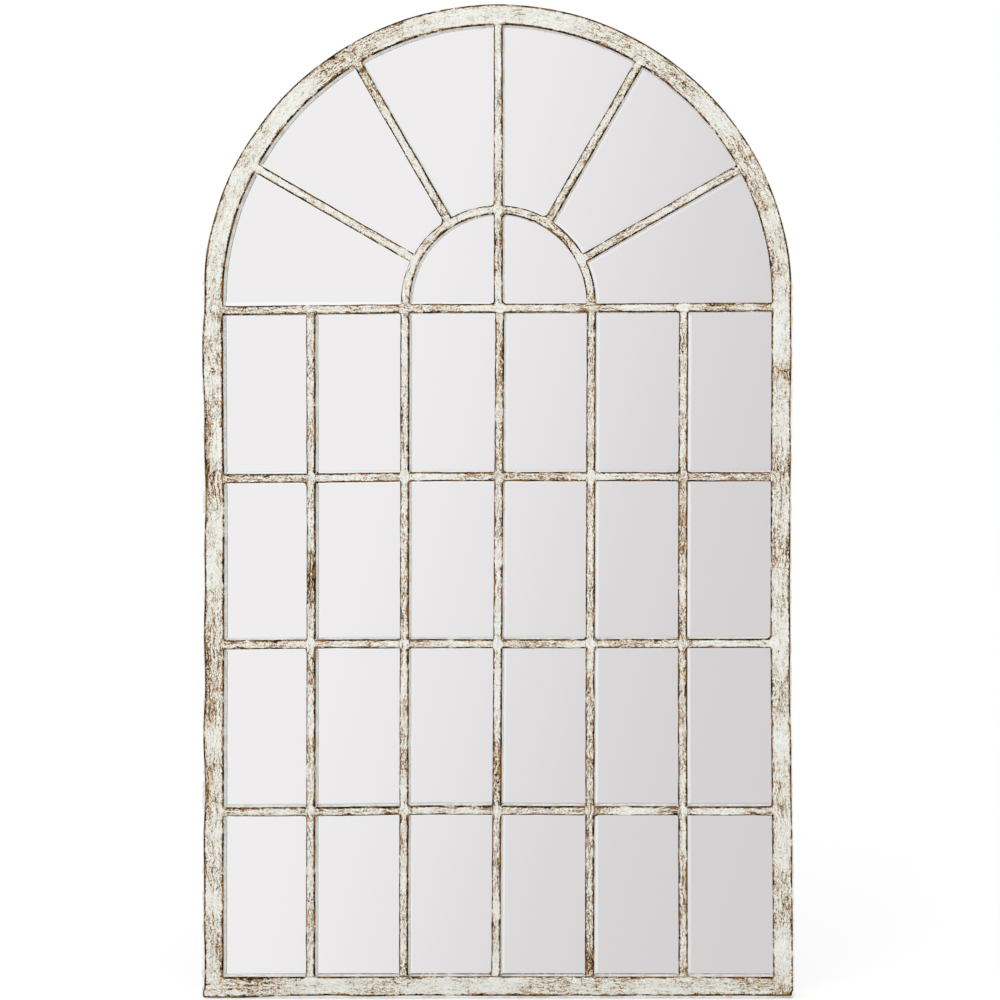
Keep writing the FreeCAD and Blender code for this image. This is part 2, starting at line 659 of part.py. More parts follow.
brackets = new_body("hanger_brackets", level=BRACKET_BACK, height=HINGE_HEIGHT)
plate = front_sketch(brackets, "Plate")
draw_rectangle(plate, "(%s - Sizes.bracket_reach)" % RIM_INNER, RIM_INNER,
               "-" + cell("bracket_drop"), cell("bracket_rise"))
right_plate = pad(brackets, plate, cell("bracket_thickness"))
pair = brackets.newObject("PartDesign::Mirrored", "Pair")
pair.Originals = [right_plate]
pair.MirrorPlane = (plate, ["V_Axis"])
brackets.Tip = pair
keep(brackets)


def strap_cylinder(name, radius):
    """Cylinder across the strap on the hinge line."""
    cylinder = doc.addObject("Part::Cylinder", name)
    cylinder.setExpression("Radius", radius)
    cylinder.setExpression("Height", cell("strap_width"))
    cylinder.Placement.Rotation = FreeCAD.Rotation(TO_WALL, 90)
    cylinder.setExpression("Placement.Base.x", "%s - Sizes.strap_width / 2" % STRAP_CENTRE)
    cylinder.setExpression("Placement.Base.y", "-" + HINGE_DEPTH)
    cylinder.setExpression("Placement.Base.z", HINGE_HEIGHT)
    return cylinder


# The strap is a folded strip: two thicknesses below the loop, lying on the bracket.
tongue = doc.addObject("Part::Box", "strap_tongue")
tongue.setExpression("Length", cell("strap_width"))
tongue.setExpression("Width", "2 * " + cell("strap_thickness"))
tongue.setExpression("Height", cell("strap_drop"))
tongue.setExpression("Placement.Base.x", "%s - Sizes.strap_width / 2" % STRAP_CENTRE)
tongue.setExpression("Placement.Base.y", "-" + BRACKET_BACK)
tongue.setExpression("Placement.Base.z", "%s - Sizes.strap_drop" % HINGE_HEIGHT)
folded = doc.addObject("Part::Fuse", "strap_folded")
folded.Base = tongue
folded.Tool = strap_cylinder("strap_loop", LOOP_OUTER)
folded.Refine = True
right_strap = doc.addObject("Part::Cut", "right_strap")
right_strap.Base = folded
right_strap.Tool = strap_cylinder("strap_bore", LOOP_BORE)
left_strap = doc.addObject("Part::Mirroring", "left_strap")
left_strap.Source = right_strap
left_strap.Normal = ACROSS
straps = doc.addObject("Part::Compound", "hanger_straps")
straps.Label = "hanger_straps"
straps.Links = [left_strap, right_strap]
keep(straps)


def d_ring():
    """Closed D of round wire, hanging from its straight leg on the origin's X axis."""
    wire_radius = size(cell("ring_wire")) / 2
    bow = size(cell("ring_bow"))
    corner = size(cell("ring_corner"))
    bow_height = bow - size(cell("ring_length"))
    leg_half = bow - corner
    hollow = corner * (1 - math.sqrt(0.5))
    leg = Part.LineSegment(Vector(-leg_half, 0, 0), Vector(leg_half, 0, 0))
    path = [leg]
    for side in (1, -1):
        top = Vector(side * leg_half, 0, 0)
        turn = Vector(side * (bow - hollow), 0, -hollow)
        shoulder = Vector(side * bow, 0, -corner)
        arm_foot = Vector(side * bow, 0, bow_height)
        if side == 1:
            path += [Part.Arc(top, turn, shoulder), Part.LineSegment(shoulder, arm_foot),
                     Part.Arc(arm_foot, Vector(0, 0, bow_height - bow), Vector(-bow, 0, bow_height))]
        else:
            path += [Part.LineSegment(arm_foot, shoulder), Part.Arc(shoulder, turn, top)]
    route = Part.Wire([curve.toShape() for curve in path])
    section = Part.Wire(Part.Circle(Vector(0, 0, 0), ACROSS, wire_radius).toShape())
    return route.makePipeShell([section], True, False)


for name, side in (("left_d_ring", -1), ("right_d_ring", 1)):
    shaped(name, d_ring(), at(side * size(STRAP_CENTRE), size(HINGE_DEPTH), size(HINGE_HEIGHT)))


# ---------------------------------------------------------------- bumpers

bumpers = new_body("wall_bumpers")
discs = front_sketch(bumpers, "Discs")
for side in (-1, 1):
    for height in ("(Sizes.low_bumper_rise - Sizes.spring_height)", cell("high_bumper_rise")):
        across = "(%s - Sizes.bumper_inset)" % BOARD_HALF
        centre = Vector(side * size(across), size(height), 0)
        radius = size(cell("bumper_diameter")) / 2
        disc = discs.addGeometry(Part.Circle(centre, UP, radius))
        bind(discs, Sketcher.Constraint("Radius", disc, radius), cell("bumper_diameter") + " / 2")
        bind(discs, Sketcher.Constraint("DistanceX", -1, 1, disc, 3, centre.x), "%d * %s" % (side, across))
        bind(discs, Sketcher.Constraint("DistanceY", -1, 1, disc, 3, centre.y), height)
pad(bumpers, discs, BOARD_BACK)
keep(bumpers)


# ---------------------------------------------------------------- check and write

doc.recompute()
for item in doc.Objects:
    if "Invalid" in item.State or "Error" in item.State:
        raise RuntimeError("%s did not compute: %s" % (item.Name, item.State))
for piece in nodes:
    if piece.Shape.isNull() or not piece.Shape.isValid() or not piece.Shape.Solids:
        raise RuntimeError("%s has no valid solid" % piece.Label)
    if min(solid.Volume for solid in piece.Shape.Solids) <= 0:
        raise RuntimeError("%s has an empty or inside-out solid" % piece.Label)

os.makedirs("parts", exist_ok=True)
for piece in nodes:
    piece.Shape.exportStep(os.path.join("parts", piece.Label + ".step"))
print("wrote %d sub-parts" % len(nodes))
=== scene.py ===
import math

import bpy
import numpy as np
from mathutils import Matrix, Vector


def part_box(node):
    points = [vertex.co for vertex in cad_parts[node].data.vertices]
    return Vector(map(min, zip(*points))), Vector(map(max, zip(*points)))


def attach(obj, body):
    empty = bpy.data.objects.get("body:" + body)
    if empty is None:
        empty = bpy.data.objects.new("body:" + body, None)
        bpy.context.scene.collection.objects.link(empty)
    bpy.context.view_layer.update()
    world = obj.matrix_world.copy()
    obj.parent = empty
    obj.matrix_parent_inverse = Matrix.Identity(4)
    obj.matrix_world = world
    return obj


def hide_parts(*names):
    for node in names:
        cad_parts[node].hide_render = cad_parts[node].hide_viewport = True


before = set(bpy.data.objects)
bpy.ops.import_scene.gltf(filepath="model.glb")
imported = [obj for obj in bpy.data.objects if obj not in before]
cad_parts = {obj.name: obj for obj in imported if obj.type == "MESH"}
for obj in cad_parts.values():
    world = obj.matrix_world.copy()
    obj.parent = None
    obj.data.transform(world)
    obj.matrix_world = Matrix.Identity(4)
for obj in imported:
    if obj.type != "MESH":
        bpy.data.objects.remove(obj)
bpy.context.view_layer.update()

# Arched window mirror: ivory iron bars over separate bevelled mirror panes.
# The plan of the ironwork is worked out in millimetres, in the plane seen from the front:
# x is to the right and z is up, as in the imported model. Depth is measured from the wall.

MM = 0.001
RANDOM = np.random.default_rng(20)


def box_mm(node):
    """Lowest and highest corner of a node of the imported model, in millimetres."""
    low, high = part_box(node)
    return np.array(low) / MM, np.array(high) / MM


def middle(node):
    """Centre of a node's box, in millimetres."""
    low, high = box_mm(node)
    return (low + high) / 2


# ------ sizes taken from the model

PANE_LAP = 4.5
OUTER = box_mm("arch_bar")[1][0]
BOTTOM = box_mm("bottom_rail")[0][2]
FACE = OUTER - box_mm("pane_row1_column6")[1][0] + PANE_LAP
INNER = OUTER - FACE
FACE_FOOT = BOTTOM + FACE
RIM_WALL = 3.0
RIM_DEPTH = 22.0
BAR_DEPTH = 8.0
MODEL_HALF_BAR = 7.0
HALF_BAR = 6.55
FRONT = -box_mm("transom")[0][1]
BAR_BACK = FRONT - BAR_DEPTH
GLASS_FRONT, GLASS_BACK = [-corner[1] for corner in box_mm("pane_row1_column1")]
SPRING = 0.0
LEG_FOOT = box_mm("arch_bar")[0][2]
TRANSOM = middle("transom")[2]
HUB_CENTRE = TRANSOM + MODEL_HALF_BAR
HUB_RADIUS = box_mm("hub_ring")[1][0] - MODEL_HALF_BAR
RAY_ANGLES = [30, 60, 120, 150]
BEVEL_WIDTH = 9.0
BEVEL_DROP = 1.2
# The bars reach this far down into the bed of sealant behind them.
BED = 0.8
MULLIONS = [middle("mullion_%d" % n)[0] for n in range(1, 6)]
CROSSBAR_NAMES = ["crossbars_row_3", "crossbars_row_2", "crossbars_row_1"]
CROSSBARS = [middle(name)[2] for name in CROSSBAR_NAMES]

# Hand-set bars: each leans or sags by a little, as in the photograph.
MULLION_TOP_SHIFT = [-1.0, 0.3, 3.1, 1.3, 0.2]
MULLION_FOOT_SHIFT = [-1.7, -1.8, -2.6, -1.6, -1.4]
BAR_PLACES = [-385, -220, -90, 90, 385]
CROSSBAR_RISE = [[-3.7, -2.4, -0.7, -0.7, -0.9],
                 [-0.3, 1.2, 1.4, 1.3, 2.1],
                 [1.8, 2.6, 4.7, 3.8, 3.3]]
TRANSOM_RISE = [-4.4, -2.7, -1.2, -0.8, 0.7]
RAIL_RISE = [0.0, 1.2, 2.2, 1.8, 0.5]
HUB_SHIFT = 0.9

# Roundness of the bars' front edges and of the frame's lower corners, and legs of the welds.
ARRIS = 3.2
CORNER_ROUND = 4.5
FILLET_LEAST = 1.0
FILLET_MOST = 11.0


# ------ plan of the ironwork

# Layers of unevenness: height, wavelength and seed.
EDGE_LAYERS = [(0.30, 60, 5), (0.13, 16, 6), (0.09, 6.5, 7)]
FACE_LAYERS = [(0.16, 26, 11), (0.13, 9, 12), (0.07, 4.5, 13)]
WAVE_COUNT = 7
WAVE_LENGTHS = (0.65, 1.5)
WAVE_LEVEL = 0.62

# How far a bar's plan runs on past its ends.
RUN_ON = 6.0

# Dark line along the outer edge: how far in it lies at least, and how much further it wanders.
LINE_INSET = 1.4
LINE_WANDER = 4.0
RAIL_LINE_BAND = 12

# How far the middle of a weld lies past the bar's end, on the frame, the hub ring and a ray's root.
FRAME_JOINT = 4
HUB_JOINT = 3
RAY_JOINT = 5
FAR_FROM_JOINT = 60.0


def waves(x, z, wavelength, seed):
    """Smooth hand-made unevenness over the plan, about -1 to 1."""
    rng = np.random.default_rng(seed)
    total = np.zeros_like(x, dtype=float)
    for _ in range(WAVE_COUNT):
        turn = rng.uniform(0, 2 * math.pi)
        length = wavelength * rng.uniform(*WAVE_LENGTHS)
        phase = rng.uniform(0, 2 * math.pi)
        run = x * math.cos(turn) + z * math.sin(turn)
        total += np.sin(run * 2 * math.pi / length + phase)
    return total / (WAVE_LEVEL * WAVE_COUNT)


def unevenness(x, z, layers):
    """Sum of several layers of waves."""
    return sum(height * waves(x, z, wavelength, seed) for height, wavelength, seed in layers)


def mullion_place(number, z):
    """Centre line of a mullion at a height."""
    share = (z - FACE_FOOT) / (TRANSOM - FACE_FOOT)
    foot, top = MULLION_FOOT_SHIFT[number], MULLION_TOP_SHIFT[number]
    return MULLIONS[number] + foot * (1 - share) + top * share


def crossbar_place(number, x):
    """Centre line of a row of crossbars at a place across."""
    return CROSSBARS[number] + np.interp(x, BAR_PLACES, CROSSBAR_RISE[number])


def transom_place(x):
    """Centre line of the transom at a place across."""
    return TRANSOM + np.interp(x, BAR_PLACES, TRANSOM_RISE)


def rail_top(x):
    """Top edge of the bottom rail at a place across."""
    return FACE_FOOT + np.interp(x, BAR_PLACES, RAIL_RISE)


def frame_plan(x, z):
    """Distance outside the outer frame's band, on its inner side. Negative in the iron."""
    return np.where(z > 0, INNER - np.hypot(x, z), np.minimum(INNER - np.abs(x), z - rail_top(x)))


def outline_plan(x, z):
    """Distance outside the mirror's outline."""
    dx = np.maximum(np.abs(x) - (OUTER - CORNER_ROUND), 0)
    dz = np.maximum(BOTTOM + CORNER_ROUND - z, 0)
    corner = np.hypot(dx, dz) - CORNER_ROUND
    square = np.maximum(np.abs(x) - OUTER, BOTTOM - z)
    below = np.where((dx > 0) & (dz > 0), corner, square)
    return np.where(z > 0, np.hypot(x, z) - OUTER, below)


def line_plan(x, z, start, end):
    """Distance outside a straight bar, which runs on a little past its ends."""
    start, end = np.array(start, float), np.array(end, float)
    length = np.linalg.norm(end - start)
    along = (end - start) / length
    dx, dz = x - start[0], z - start[1]
    run = dx * along[0] + dz * along[1]
    side = np.abs(-dx * along[1] + dz * along[0]) - HALF_BAR
    past = np.maximum(-RUN_ON - run, run - length - RUN_ON)
    return np.maximum(side, past)


def ring_plan(x, z):
    """Distance outside the hub ring."""
    around = np.abs(np.hypot(x - HUB_SHIFT, z - HUB_CENTRE) - HUB_RADIUS) - HALF_BAR
    return np.maximum(around, HUB_CENTRE - RUN_ON - z)


def direction(angle):
    """Unit vector at an angle in degrees, and the same turned left by a right angle."""
    turn = math.radians(angle)
    return (np.array([math.cos(turn), math.sin(turn)]),
            np.array([-math.sin(turn), math.cos(turn)]))


def meet(start, along, centre, radius):
    """Point where a line from start leaves a circle."""
    offset = start - np.array(centre)
    run = offset @ along
    return start + along * (math.sqrt(run ** 2 - offset @ offset + radius ** 2) - run)


HUB = np.array([HUB_SHIFT, HUB_CENTRE])
ARCH = np.array([0.0, SPRING])
RAY_ROOT = np.array([HUB_SHIFT, TRANSOM])


def ray_ends(angle):
    """Ends of a ray's centre line on the hub ring and on the arch."""
    along = direction(angle)[0]
    return [meet(RAY_ROOT, along, centre, radius)
            for centre, radius in ((HUB, HUB_RADIUS + HALF_BAR), (ARCH, INNER))]


BAR_PLANS = {
    "frame": frame_plan,
    "transom": lambda x, z: np.abs(z - transom_place(x)) - HALF_BAR,
    "centre_bar": lambda x, z: line_plan(x, z, (HUB_SHIFT, HUB_CENTRE), (HUB_SHIFT, INNER)),
    "hub_ring": ring_plan}
for n in range(5):
    BAR_PLANS["mullion_%d" % (n + 1)] = (
        lambda x, z, n=n: np.maximum(np.abs(x - mullion_place(n, z)) - HALF_BAR, z - TRANSOM))
for n in range(3):
    BAR_PLANS[CROSSBAR_NAMES[n]] = lambda x, z, n=n: np.abs(z - crossbar_place(n, x)) - HALF_BAR
for n, angle in enumerate(RAY_ANGLES):
    BAR_PLANS["fan_ray_%d" % (n + 1)] = lambda x, z, ends=ray_ends(angle): line_plan(x, z, *ends)
RANK = {name: rank for rank, name in enumerate(BAR_PLANS)}


def iron_plan(x, z):
    """Distance outside the joined bars, with weld fillets in the corners and hand-made edges."""
    first = np.full(x.shape, 1e3)
    second = np.full(x.shape, 1e3)
    for plan in BAR_PLANS.values():
        value = plan(x, z)
        second = np.minimum(second, np.maximum(value, first))
        first = np.minimum(first, value)
    share = np.clip(0.36 + 0.5 * waves(x, z, 22, 3), 0, 1)
    leg = FILLET_LEAST + (FILLET_MOST - FILLET_LEAST) * share ** 2
    gather = np.maximum(leg - (second - first), 0) ** 2 / (4 * leg)
    return first - gather + unevenness(x, z, EDGE_LAYERS)


def line_distance(x, z):
    """Distance in from the dark line along the nearest edge: on the outer edge it stands back."""
    to_left = 0.7 + 0.3 * np.clip(-x / 300, -1, 1)
    wander = np.clip(0.62 + 0.5 * waves(x, z, 150, 21), 0.1, 1)
    on_arch = 1 - 0.55 * np.clip(z / 150, 0, 1)
    inset = (LINE_INSET + LINE_WANDER * to_left * wander) * on_arch
    below = 1.8 + 2.6 * np.clip((x + 350) / 60, 0, 1) + 0.6 * waves(x, z, 90, 22)
    inset = np.where(z < BOTTOM + RAIL_LINE_BAND, below, inset)
    outer = -outline_plan(x, z)
    inner = -iron_plan(x, z)
    return np.where(outer < inner, outer - inset, inner)


def junctions():
    """Middles of all the places where bars are welded together."""
    points = []
    for n in range(5):
        foot = mullion_place(n, FACE_FOOT)
        points += [(mullion_place(n, TRANSOM), TRANSOM), (foot, rail_top(foot) - FRAME_JOINT)]
        points += [(mullion_place(n, CROSSBARS[i]), crossbar_place(i, mullion_place(n, 0)))
                   for i in range(3)]
    for side in (-1, 1):
        edge = side * (INNER + FRAME_JOINT)
        points += [(edge, crossbar_place(i, side * INNER)) for i in range(3)]
        points += [(edge, TRANSOM), (HUB_SHIFT + side * HUB_RADIUS, TRANSOM + HUB_JOINT)]
    points += [(HUB_SHIFT, HUB_CENTRE + HUB_RADIUS), (HUB_SHIFT, INNER + FRAME_JOINT)]
    for angle in RAY_ANGLES:
        near, far = ray_ends(angle)
        points += [near - RAY_JOINT * (far - near) / np.linalg.norm(far - near), far]
    return np.array(points)


def joint_distance(x, z):
    """Distance to the middle of the nearest weld."""
    nearest = np.full(x.shape, FAR_FROM_JOINT)
    for px, pz in junctions():
        nearest = np.minimum(nearest, np.hypot(x - px, z - pz))
    return nearest


# Worn and clean places, listed one by one: x, z, reach across and upwards, and how much darker
# (or cleaner, below zero).
WEAR = [(-410, -214, 10, 55, 0.42), (-410, -523, 10, 60, 0.34), (-410, -678, 10, 36, 0.42),
        (402, -107, 18, 13, 0.36), (393, -50, 7, 24, -0.12), (408, -40, 8, 40, 0.12),
        (-262, -394, 15, 52, 0.26), (-262, -633, 15, 60, -0.12), (-131, -549, 15, 70, -0.12),
        (1, -678, 15, 34, 0.26), (130, -214, 15, 26, 0.30), (130, -921, 15, 40, 0.26),
        (261, -310, 15, 60, 0.24), (261, -563, 15, 90, 0.16), (39, -483, 42, 15, 0.24),
        (-337, 157, 8, 8, 0.60), (-190, 322, 7, 7, 0.40), (290, -13, 22, 12, 0.22),
        (375, -8, 14, 10, 0.36), (0, -120, 15, 40, 0.14), (340, -962, 60, 8, 0.16),
        (-330, -957, 30, 12, 0.12), (-391, -205, 9, 70, -0.16), (-389, 120, 8, 60, 0.14),
        (-120, 375, 90, 10, 0.10)]


def wear(x, z):
    """How much more worn the paint is at a place."""
    total = np.zeros_like(x, dtype=float)
    for at_x, at_z, reach_x, reach_z, amount in WEAR:
        total += amount * np.exp(-((x - at_x) / reach_x) ** 2 - ((z - at_z) / reach_z) ** 2)
    return total


def depth_inside(x, z):
    """Distance in from the nearest edge of the iron."""
    return np.minimum(-iron_plan(x, z), -outline_plan(x, z))


# ------ bars as meshes

# Columns of a bar's face, in from each edge.
EDGE_STEPS = np.array([0.0, 0.35, 0.9, 1.7, 2.8, 4.3])

# Spacing along a bar, finer near its joints, and the least that is left between two places.
STATION = 3.0
FINE_STATION = 1.0
FINE_REACH = 13.0
LEAST_STATION = 0.35

# The edge is looked for from a little inside a bar to a little outside it.
SEARCH_INSIDE = 4.0
SEARCH_OUTSIDE = 12.0
SAMPLE = 0.25

# The painted face lies this far under the model's front, and its lumps start this far in.
FACE_SETBACK = 0.25
LUMPS_START = 1.5

# Heights of the profile's columns above the bars' back, on the sides and on the rim's wall.
FLANK = BAR_DEPTH - ARRIS - FACE_SETBACK
SIDE_HEIGHT = 2.2
RIM_HEIGHTS = [1.5, -10.0, -RIM_DEPTH]
RIM_BACK_HEIGHTS = [-RIM_DEPTH, -10.0, -BED]

# Paint values for surfaces that have no edge, seam or weld near them.
HIDDEN_EDGE = -20.0
RIM_EDGE = -15.0
BACK_GRAIN = 30.0
FAR_FROM_SEAM = 20.0

SMOOTH_ANGLE = math.radians(50)


def stations(length, busy):
    """Places along a bar, closer together near its joints."""
    places = set(np.arange(0, length, STATION).tolist() + [length])
    for place in busy:
        near = np.arange(place - FINE_REACH, place + FINE_REACH, FINE_STATION)
        sides = [place - HALF_BAR, place + HALF_BAR]
        places.update(p for p in list(near) + sides if 0 <= p <= length)
    ordered = [0.0]
    for place in sorted(places):
        if place - ordered[-1] > LEAST_STATION:
            ordered.append(place)
    ordered[-1] = length
    return np.array(ordered)


def owned(name, x, z, beyond):
    """Whether a bar owns a point: higher ranks take the crossings, and corners are split evenly."""
    mine = BAR_PLANS[name](x, z)
    yes = (iron_plan(x, z) <= 0) & (outline_plan(x, z) <= 0)
    if name == "frame":
        yes &= ~beyond | (mine >= 0)
    for other, plan in BAR_PLANS.items():
        if other == name:
            continue
        theirs = plan(x, z)
        if RANK[other] < RANK[name]:
            yes &= (theirs >= 0) & (mine <= theirs)
        else:
            yes &= mine <= np.maximum(theirs, 0)
    return yes


def beside(centre, across, u):
    """Places at distances u from a bar's centre line, as x and z."""
    return centre[:, 0:1] + across[:, 0:1] * u, centre[:, 1:2] + across[:, 1:2] * u


def reach(name, centre, across, half, side):
    """How far a bar's face extends from its centre line to one side, at each station."""
    steps = np.arange(half - SEARCH_INSIDE, half + SEARCH_OUTSIDE, SAMPLE)
    x, z = beside(centre, side * across, steps)
    good = owned(name, x, z, steps[None, :] > half)
    last = np.where(good.all(axis=1), len(steps) - 1, np.argmin(good, axis=1) - 1)
    last = np.maximum(last, 0)
    rows = np.arange(len(last))
    after = np.minimum(last + 1, len(steps) - 1)
    plan = depth_inside(x, z)
    inside, outside = plan[rows, last], plan[rows, after]
    share = np.where(outside < 0, inside / np.maximum(inside - outside, 1e-6), 0.0)
    return steps[last] + SAMPLE * np.clip(share, 0, 1)


def face_height(x, z, inside):
    """Height of the front face above the bars' back: rounded arrises and brushed, lumpy paint."""
    short = ARRIS - np.minimum(inside, ARRIS)
    round_off = ARRIS - np.sqrt(np.maximum(ARRIS ** 2 - short ** 2, 0))
    settle = np.clip(inside / LUMPS_START, 0, 1)
    return BAR_DEPTH - FACE_SETBACK - round_off + unevenness(x, z, FACE_LAYERS) * settle


def member(name, centre, across, half, along, open_back=False):
    """Mesh of one bar, swept along its stations. across points to the rim on an outer member."""
    low = -reach(name, centre, across, half, -1)
    high = reach(name, centre, across, half, 1)
    share = np.linspace(0, 1, 5 if open_back else 3)[1:-1]
    columns = [low + step for step in EDGE_STEPS]
    start, end = columns[-1], high - EDGE_STEPS[-1]
    columns += [start + (end - start) * s for s in share]
    columns += [high - step for step in EDGE_STEPS[::-1]]
    u = np.array(columns).T
    x, z = beside(centre, across, u)
    inside = np.maximum(depth_inside(x, z), 0)
    v = face_height(x, z, inside)
    edge = line_distance(x, z)
    for column in (0, -1):
        v[:, column] = np.minimum(v[:, column], FLANK + inside[:, column])

    # More columns of the profile, at fixed heights above the bars' back.
    right_v, right_u = np.meshgrid(RIM_HEIGHTS if open_back else [SIDE_HEIGHT, -BED], high)
    back_v, back_u = np.meshgrid(RIM_BACK_HEIGHTS if open_back else [], high - RIM_WALL)
    left_v, left_u = np.meshgrid([-BED, SIDE_HEIGHT], low)
    down_right, down_left = FLANK - right_v, FLANK - left_v
    u_all = np.hstack([u, right_u, back_u, left_u])
    v_all = np.hstack([v, right_v, back_v, left_v])
    edge_all = np.hstack([edge, edge[:, -1:] - down_right, np.full(back_v.shape, HIDDEN_EDGE),
                          edge[:, :1] - down_left])
    sideways = np.hstack([u, right_u + down_right, back_u + BACK_GRAIN - back_v,
                          left_u - down_left])
    x, z = beside(centre, across, u_all)
    points = np.stack([x, -(BAR_BACK + v_all), z], axis=-1)
    even = np.ones(x.shape)
    ends = np.minimum(along - along[0], along[-1] - along)
    return {"points": points, "edge": edge_all, "across": sideways, "along": along[:, None] * even,
            "seam": ends[:, None] * even, "joint": joint_distance(x, z), "wear": wear(x, z)}


def rim_wall(start, end, outward):
    """A length of bare rim wall at a corner, where one member's wall runs past its face."""
    side = np.array([0.0, -RIM_WALL, -RIM_WALL, 0.0])
    v = np.array([-RIM_DEPTH, -RIM_DEPTH, -BED, -BED])
    shares = np.linspace(0, 1, 8)[:, None]
    even = np.ones((len(shares), len(side)))
    x, z = [a + (b - a) * shares + o * side for a, b, o in zip(start, end, outward)]
    run = shares * np.linalg.norm(np.subtract(end, start))
    return {"points": np.stack([x, -(BAR_BACK + v) * even, z], axis=-1),
            "edge": even * (v + RIM_EDGE), "across": even * (side - v), "along": even * run,
            "seam": even * FAR_FROM_SEAM, "joint": even * FAR_FROM_JOINT, "wear": even * 0.0}


def faces_of(rows, columns, first):
    """Quads of a closed sweep, and its two end caps."""
    quads = []
    for r in range(rows - 1):
        here, there = first + r * columns, first + (r + 1) * columns
        for c in range(columns):
            d = (c + 1) % columns
            quads.append((here + c, here + d, there + d, there + c))
    last = first + (rows - 1) * columns
    return quads + [tuple(range(first, first + columns))[::-1], tuple(range(last, last + columns))]


# How far each side is bowed outwards at a few heights, from the foot to the top.
BOW_HEIGHTS = [-985, -870, -700, -470, -330, -210, -40, 60, 400]
BOW_LEFT = [1.6, 1.4, 0.9, 0.2, 0.0, 1.0, 2.4, 1.8, 0.6]
BOW_RIGHT = [3.6, 3.0, 1.2, -0.8, -0.4, 0.0, 1.2, 1.6, 0.6]
BOW_TOP = 1.0


def hand_set(points):
    """The window as it was bent by hand: its sides are not quite straight."""
    points = np.array(points, dtype=float)
    x, z = points[:, 0], points[:, 2]
    outwards = np.clip(np.abs(x) / OUTER, 0, 1) ** 2
    left = np.interp(z, BOW_HEIGHTS, BOW_LEFT)
    right = np.interp(z, BOW_HEIGHTS, BOW_RIGHT)
    points[:, 0] = x + outwards * np.where(x < 0, -left, right)
    points[:, 2] = z + BOW_TOP * np.clip(z / OUTER, 0, 1) ** 2
    return points


def inside_out(points):
    """Whether a sweep's quads would face inwards."""
    section = points[0]
    centre, ahead = section.mean(axis=0), points[1].mean(axis=0) - points[0].mean(axis=0)
    area = np.cross(section - centre, np.roll(section, -1, axis=0) - centre).sum(axis=0)
    return area @ ahead > 0


def new_mesh(name, vertices, faces):
    """Smooth mesh in metres from points in millimetres, bent as the window was."""
    mesh = bpy.data.meshes.new(name)
    mesh.from_pydata((hand_set(vertices) * MM).tolist(), [], faces)
    mesh.shade_smooth()
    return mesh


def store(mesh, label, domain, values):
    """Keep one number per point or per face, for the material to read."""
    layer = mesh.attributes.new(label, "FLOAT", domain)
    layer.data.foreach_set("value", np.asarray(values, dtype=np.float32))


def placed(name, data):
    """Object in the scene."""
    obj = bpy.data.objects.new(name, data)
    bpy.context.scene.collection.objects.link(obj)
    return obj


def show(node, mesh, material):
    """Show a mesh on the mirror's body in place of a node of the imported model."""
    mesh.materials.append(material)
    obj = placed(node, mesh)
    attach(obj, "mirror")
    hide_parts(node)


def show_painted(node, vertices, faces, values):
    """Show a piece of painted ironwork, with its values per vertex."""
    mesh = new_mesh(node, vertices, faces)
    for label, numbers in values.items():
        store(mesh, label, "POINT", numbers)
    mesh.validate()
    mesh.set_sharp_from_angle(angle=SMOOTH_ANGLE)
    show(node, mesh, PAINT)


def show_bar(node, sweeps):
    """Show a bar made of one or more sweeps."""
    vertices, faces = [], []
    values = {label: [] for label in ("edge", "across", "along", "seam", "joint", "wear")}
    for sweep in sweeps:
        rows, columns = sweep["points"].shape[:2]
        quads = faces_of(rows, columns, len(vertices))
        faces += [quad[::-1] for quad in quads] if inside_out(sweep["points"]) else quads
        vertices += sweep["points"].reshape(-1, 3).tolist()
        for label in values:
            values[label] += sweep[label].reshape(-1).tolist()
    show_painted(node, vertices, faces, values)


def straight(name, start, end, half, busy, grain, outward=None):
    """Sweep along a straight line. outward is the direction of the rim on an outer member."""
    start, end = np.array(start, float), np.array(end, float)
    length = np.linalg.norm(end - start)
    ahead = (end - start) / length
    places = stations(length, busy)
    centre = start + places[:, None] * ahead
    side = np.array([ahead[1], -ahead[0]]) if outward is None else np.array(outward, float)
    across = np.repeat(side[None, :], len(places), axis=0)
    return member(name, centre, across, half, places + grain, outward is not None)


def level_bar(name, place, left, right, busy, grain):
    """Sweep along a bar that runs across, at the height place gives for each x."""
    places = stations(right - left, busy)
    x = left + places
    centre = np.stack([x, place(x)], axis=1)
    across = np.repeat([[0.0, -1.0]], len(x), axis=0)
    return member(name, centre, across, HALF_BAR, places + grain)


# ------ shader helpers

def operator(operation):
    """Method that adds a math node for a signal and a signal or number."""
    return lambda self, other: self.shader.math(operation, self, other)


class Signal:
    """Output of a node. Arithmetic on it adds math nodes."""

    __add__, __sub__ = operator("ADD"), operator("SUBTRACT")
    __mul__, __truediv__ = operator("MULTIPLY"), operator("DIVIDE")

    def __init__(self, shader, socket):
        self.shader, self.socket = shader, socket

    def __rsub__(self, other):
        return self.shader.math("SUBTRACT", other, self)

    def __abs__(self):
        return self.shader.math("ABSOLUTE", self)


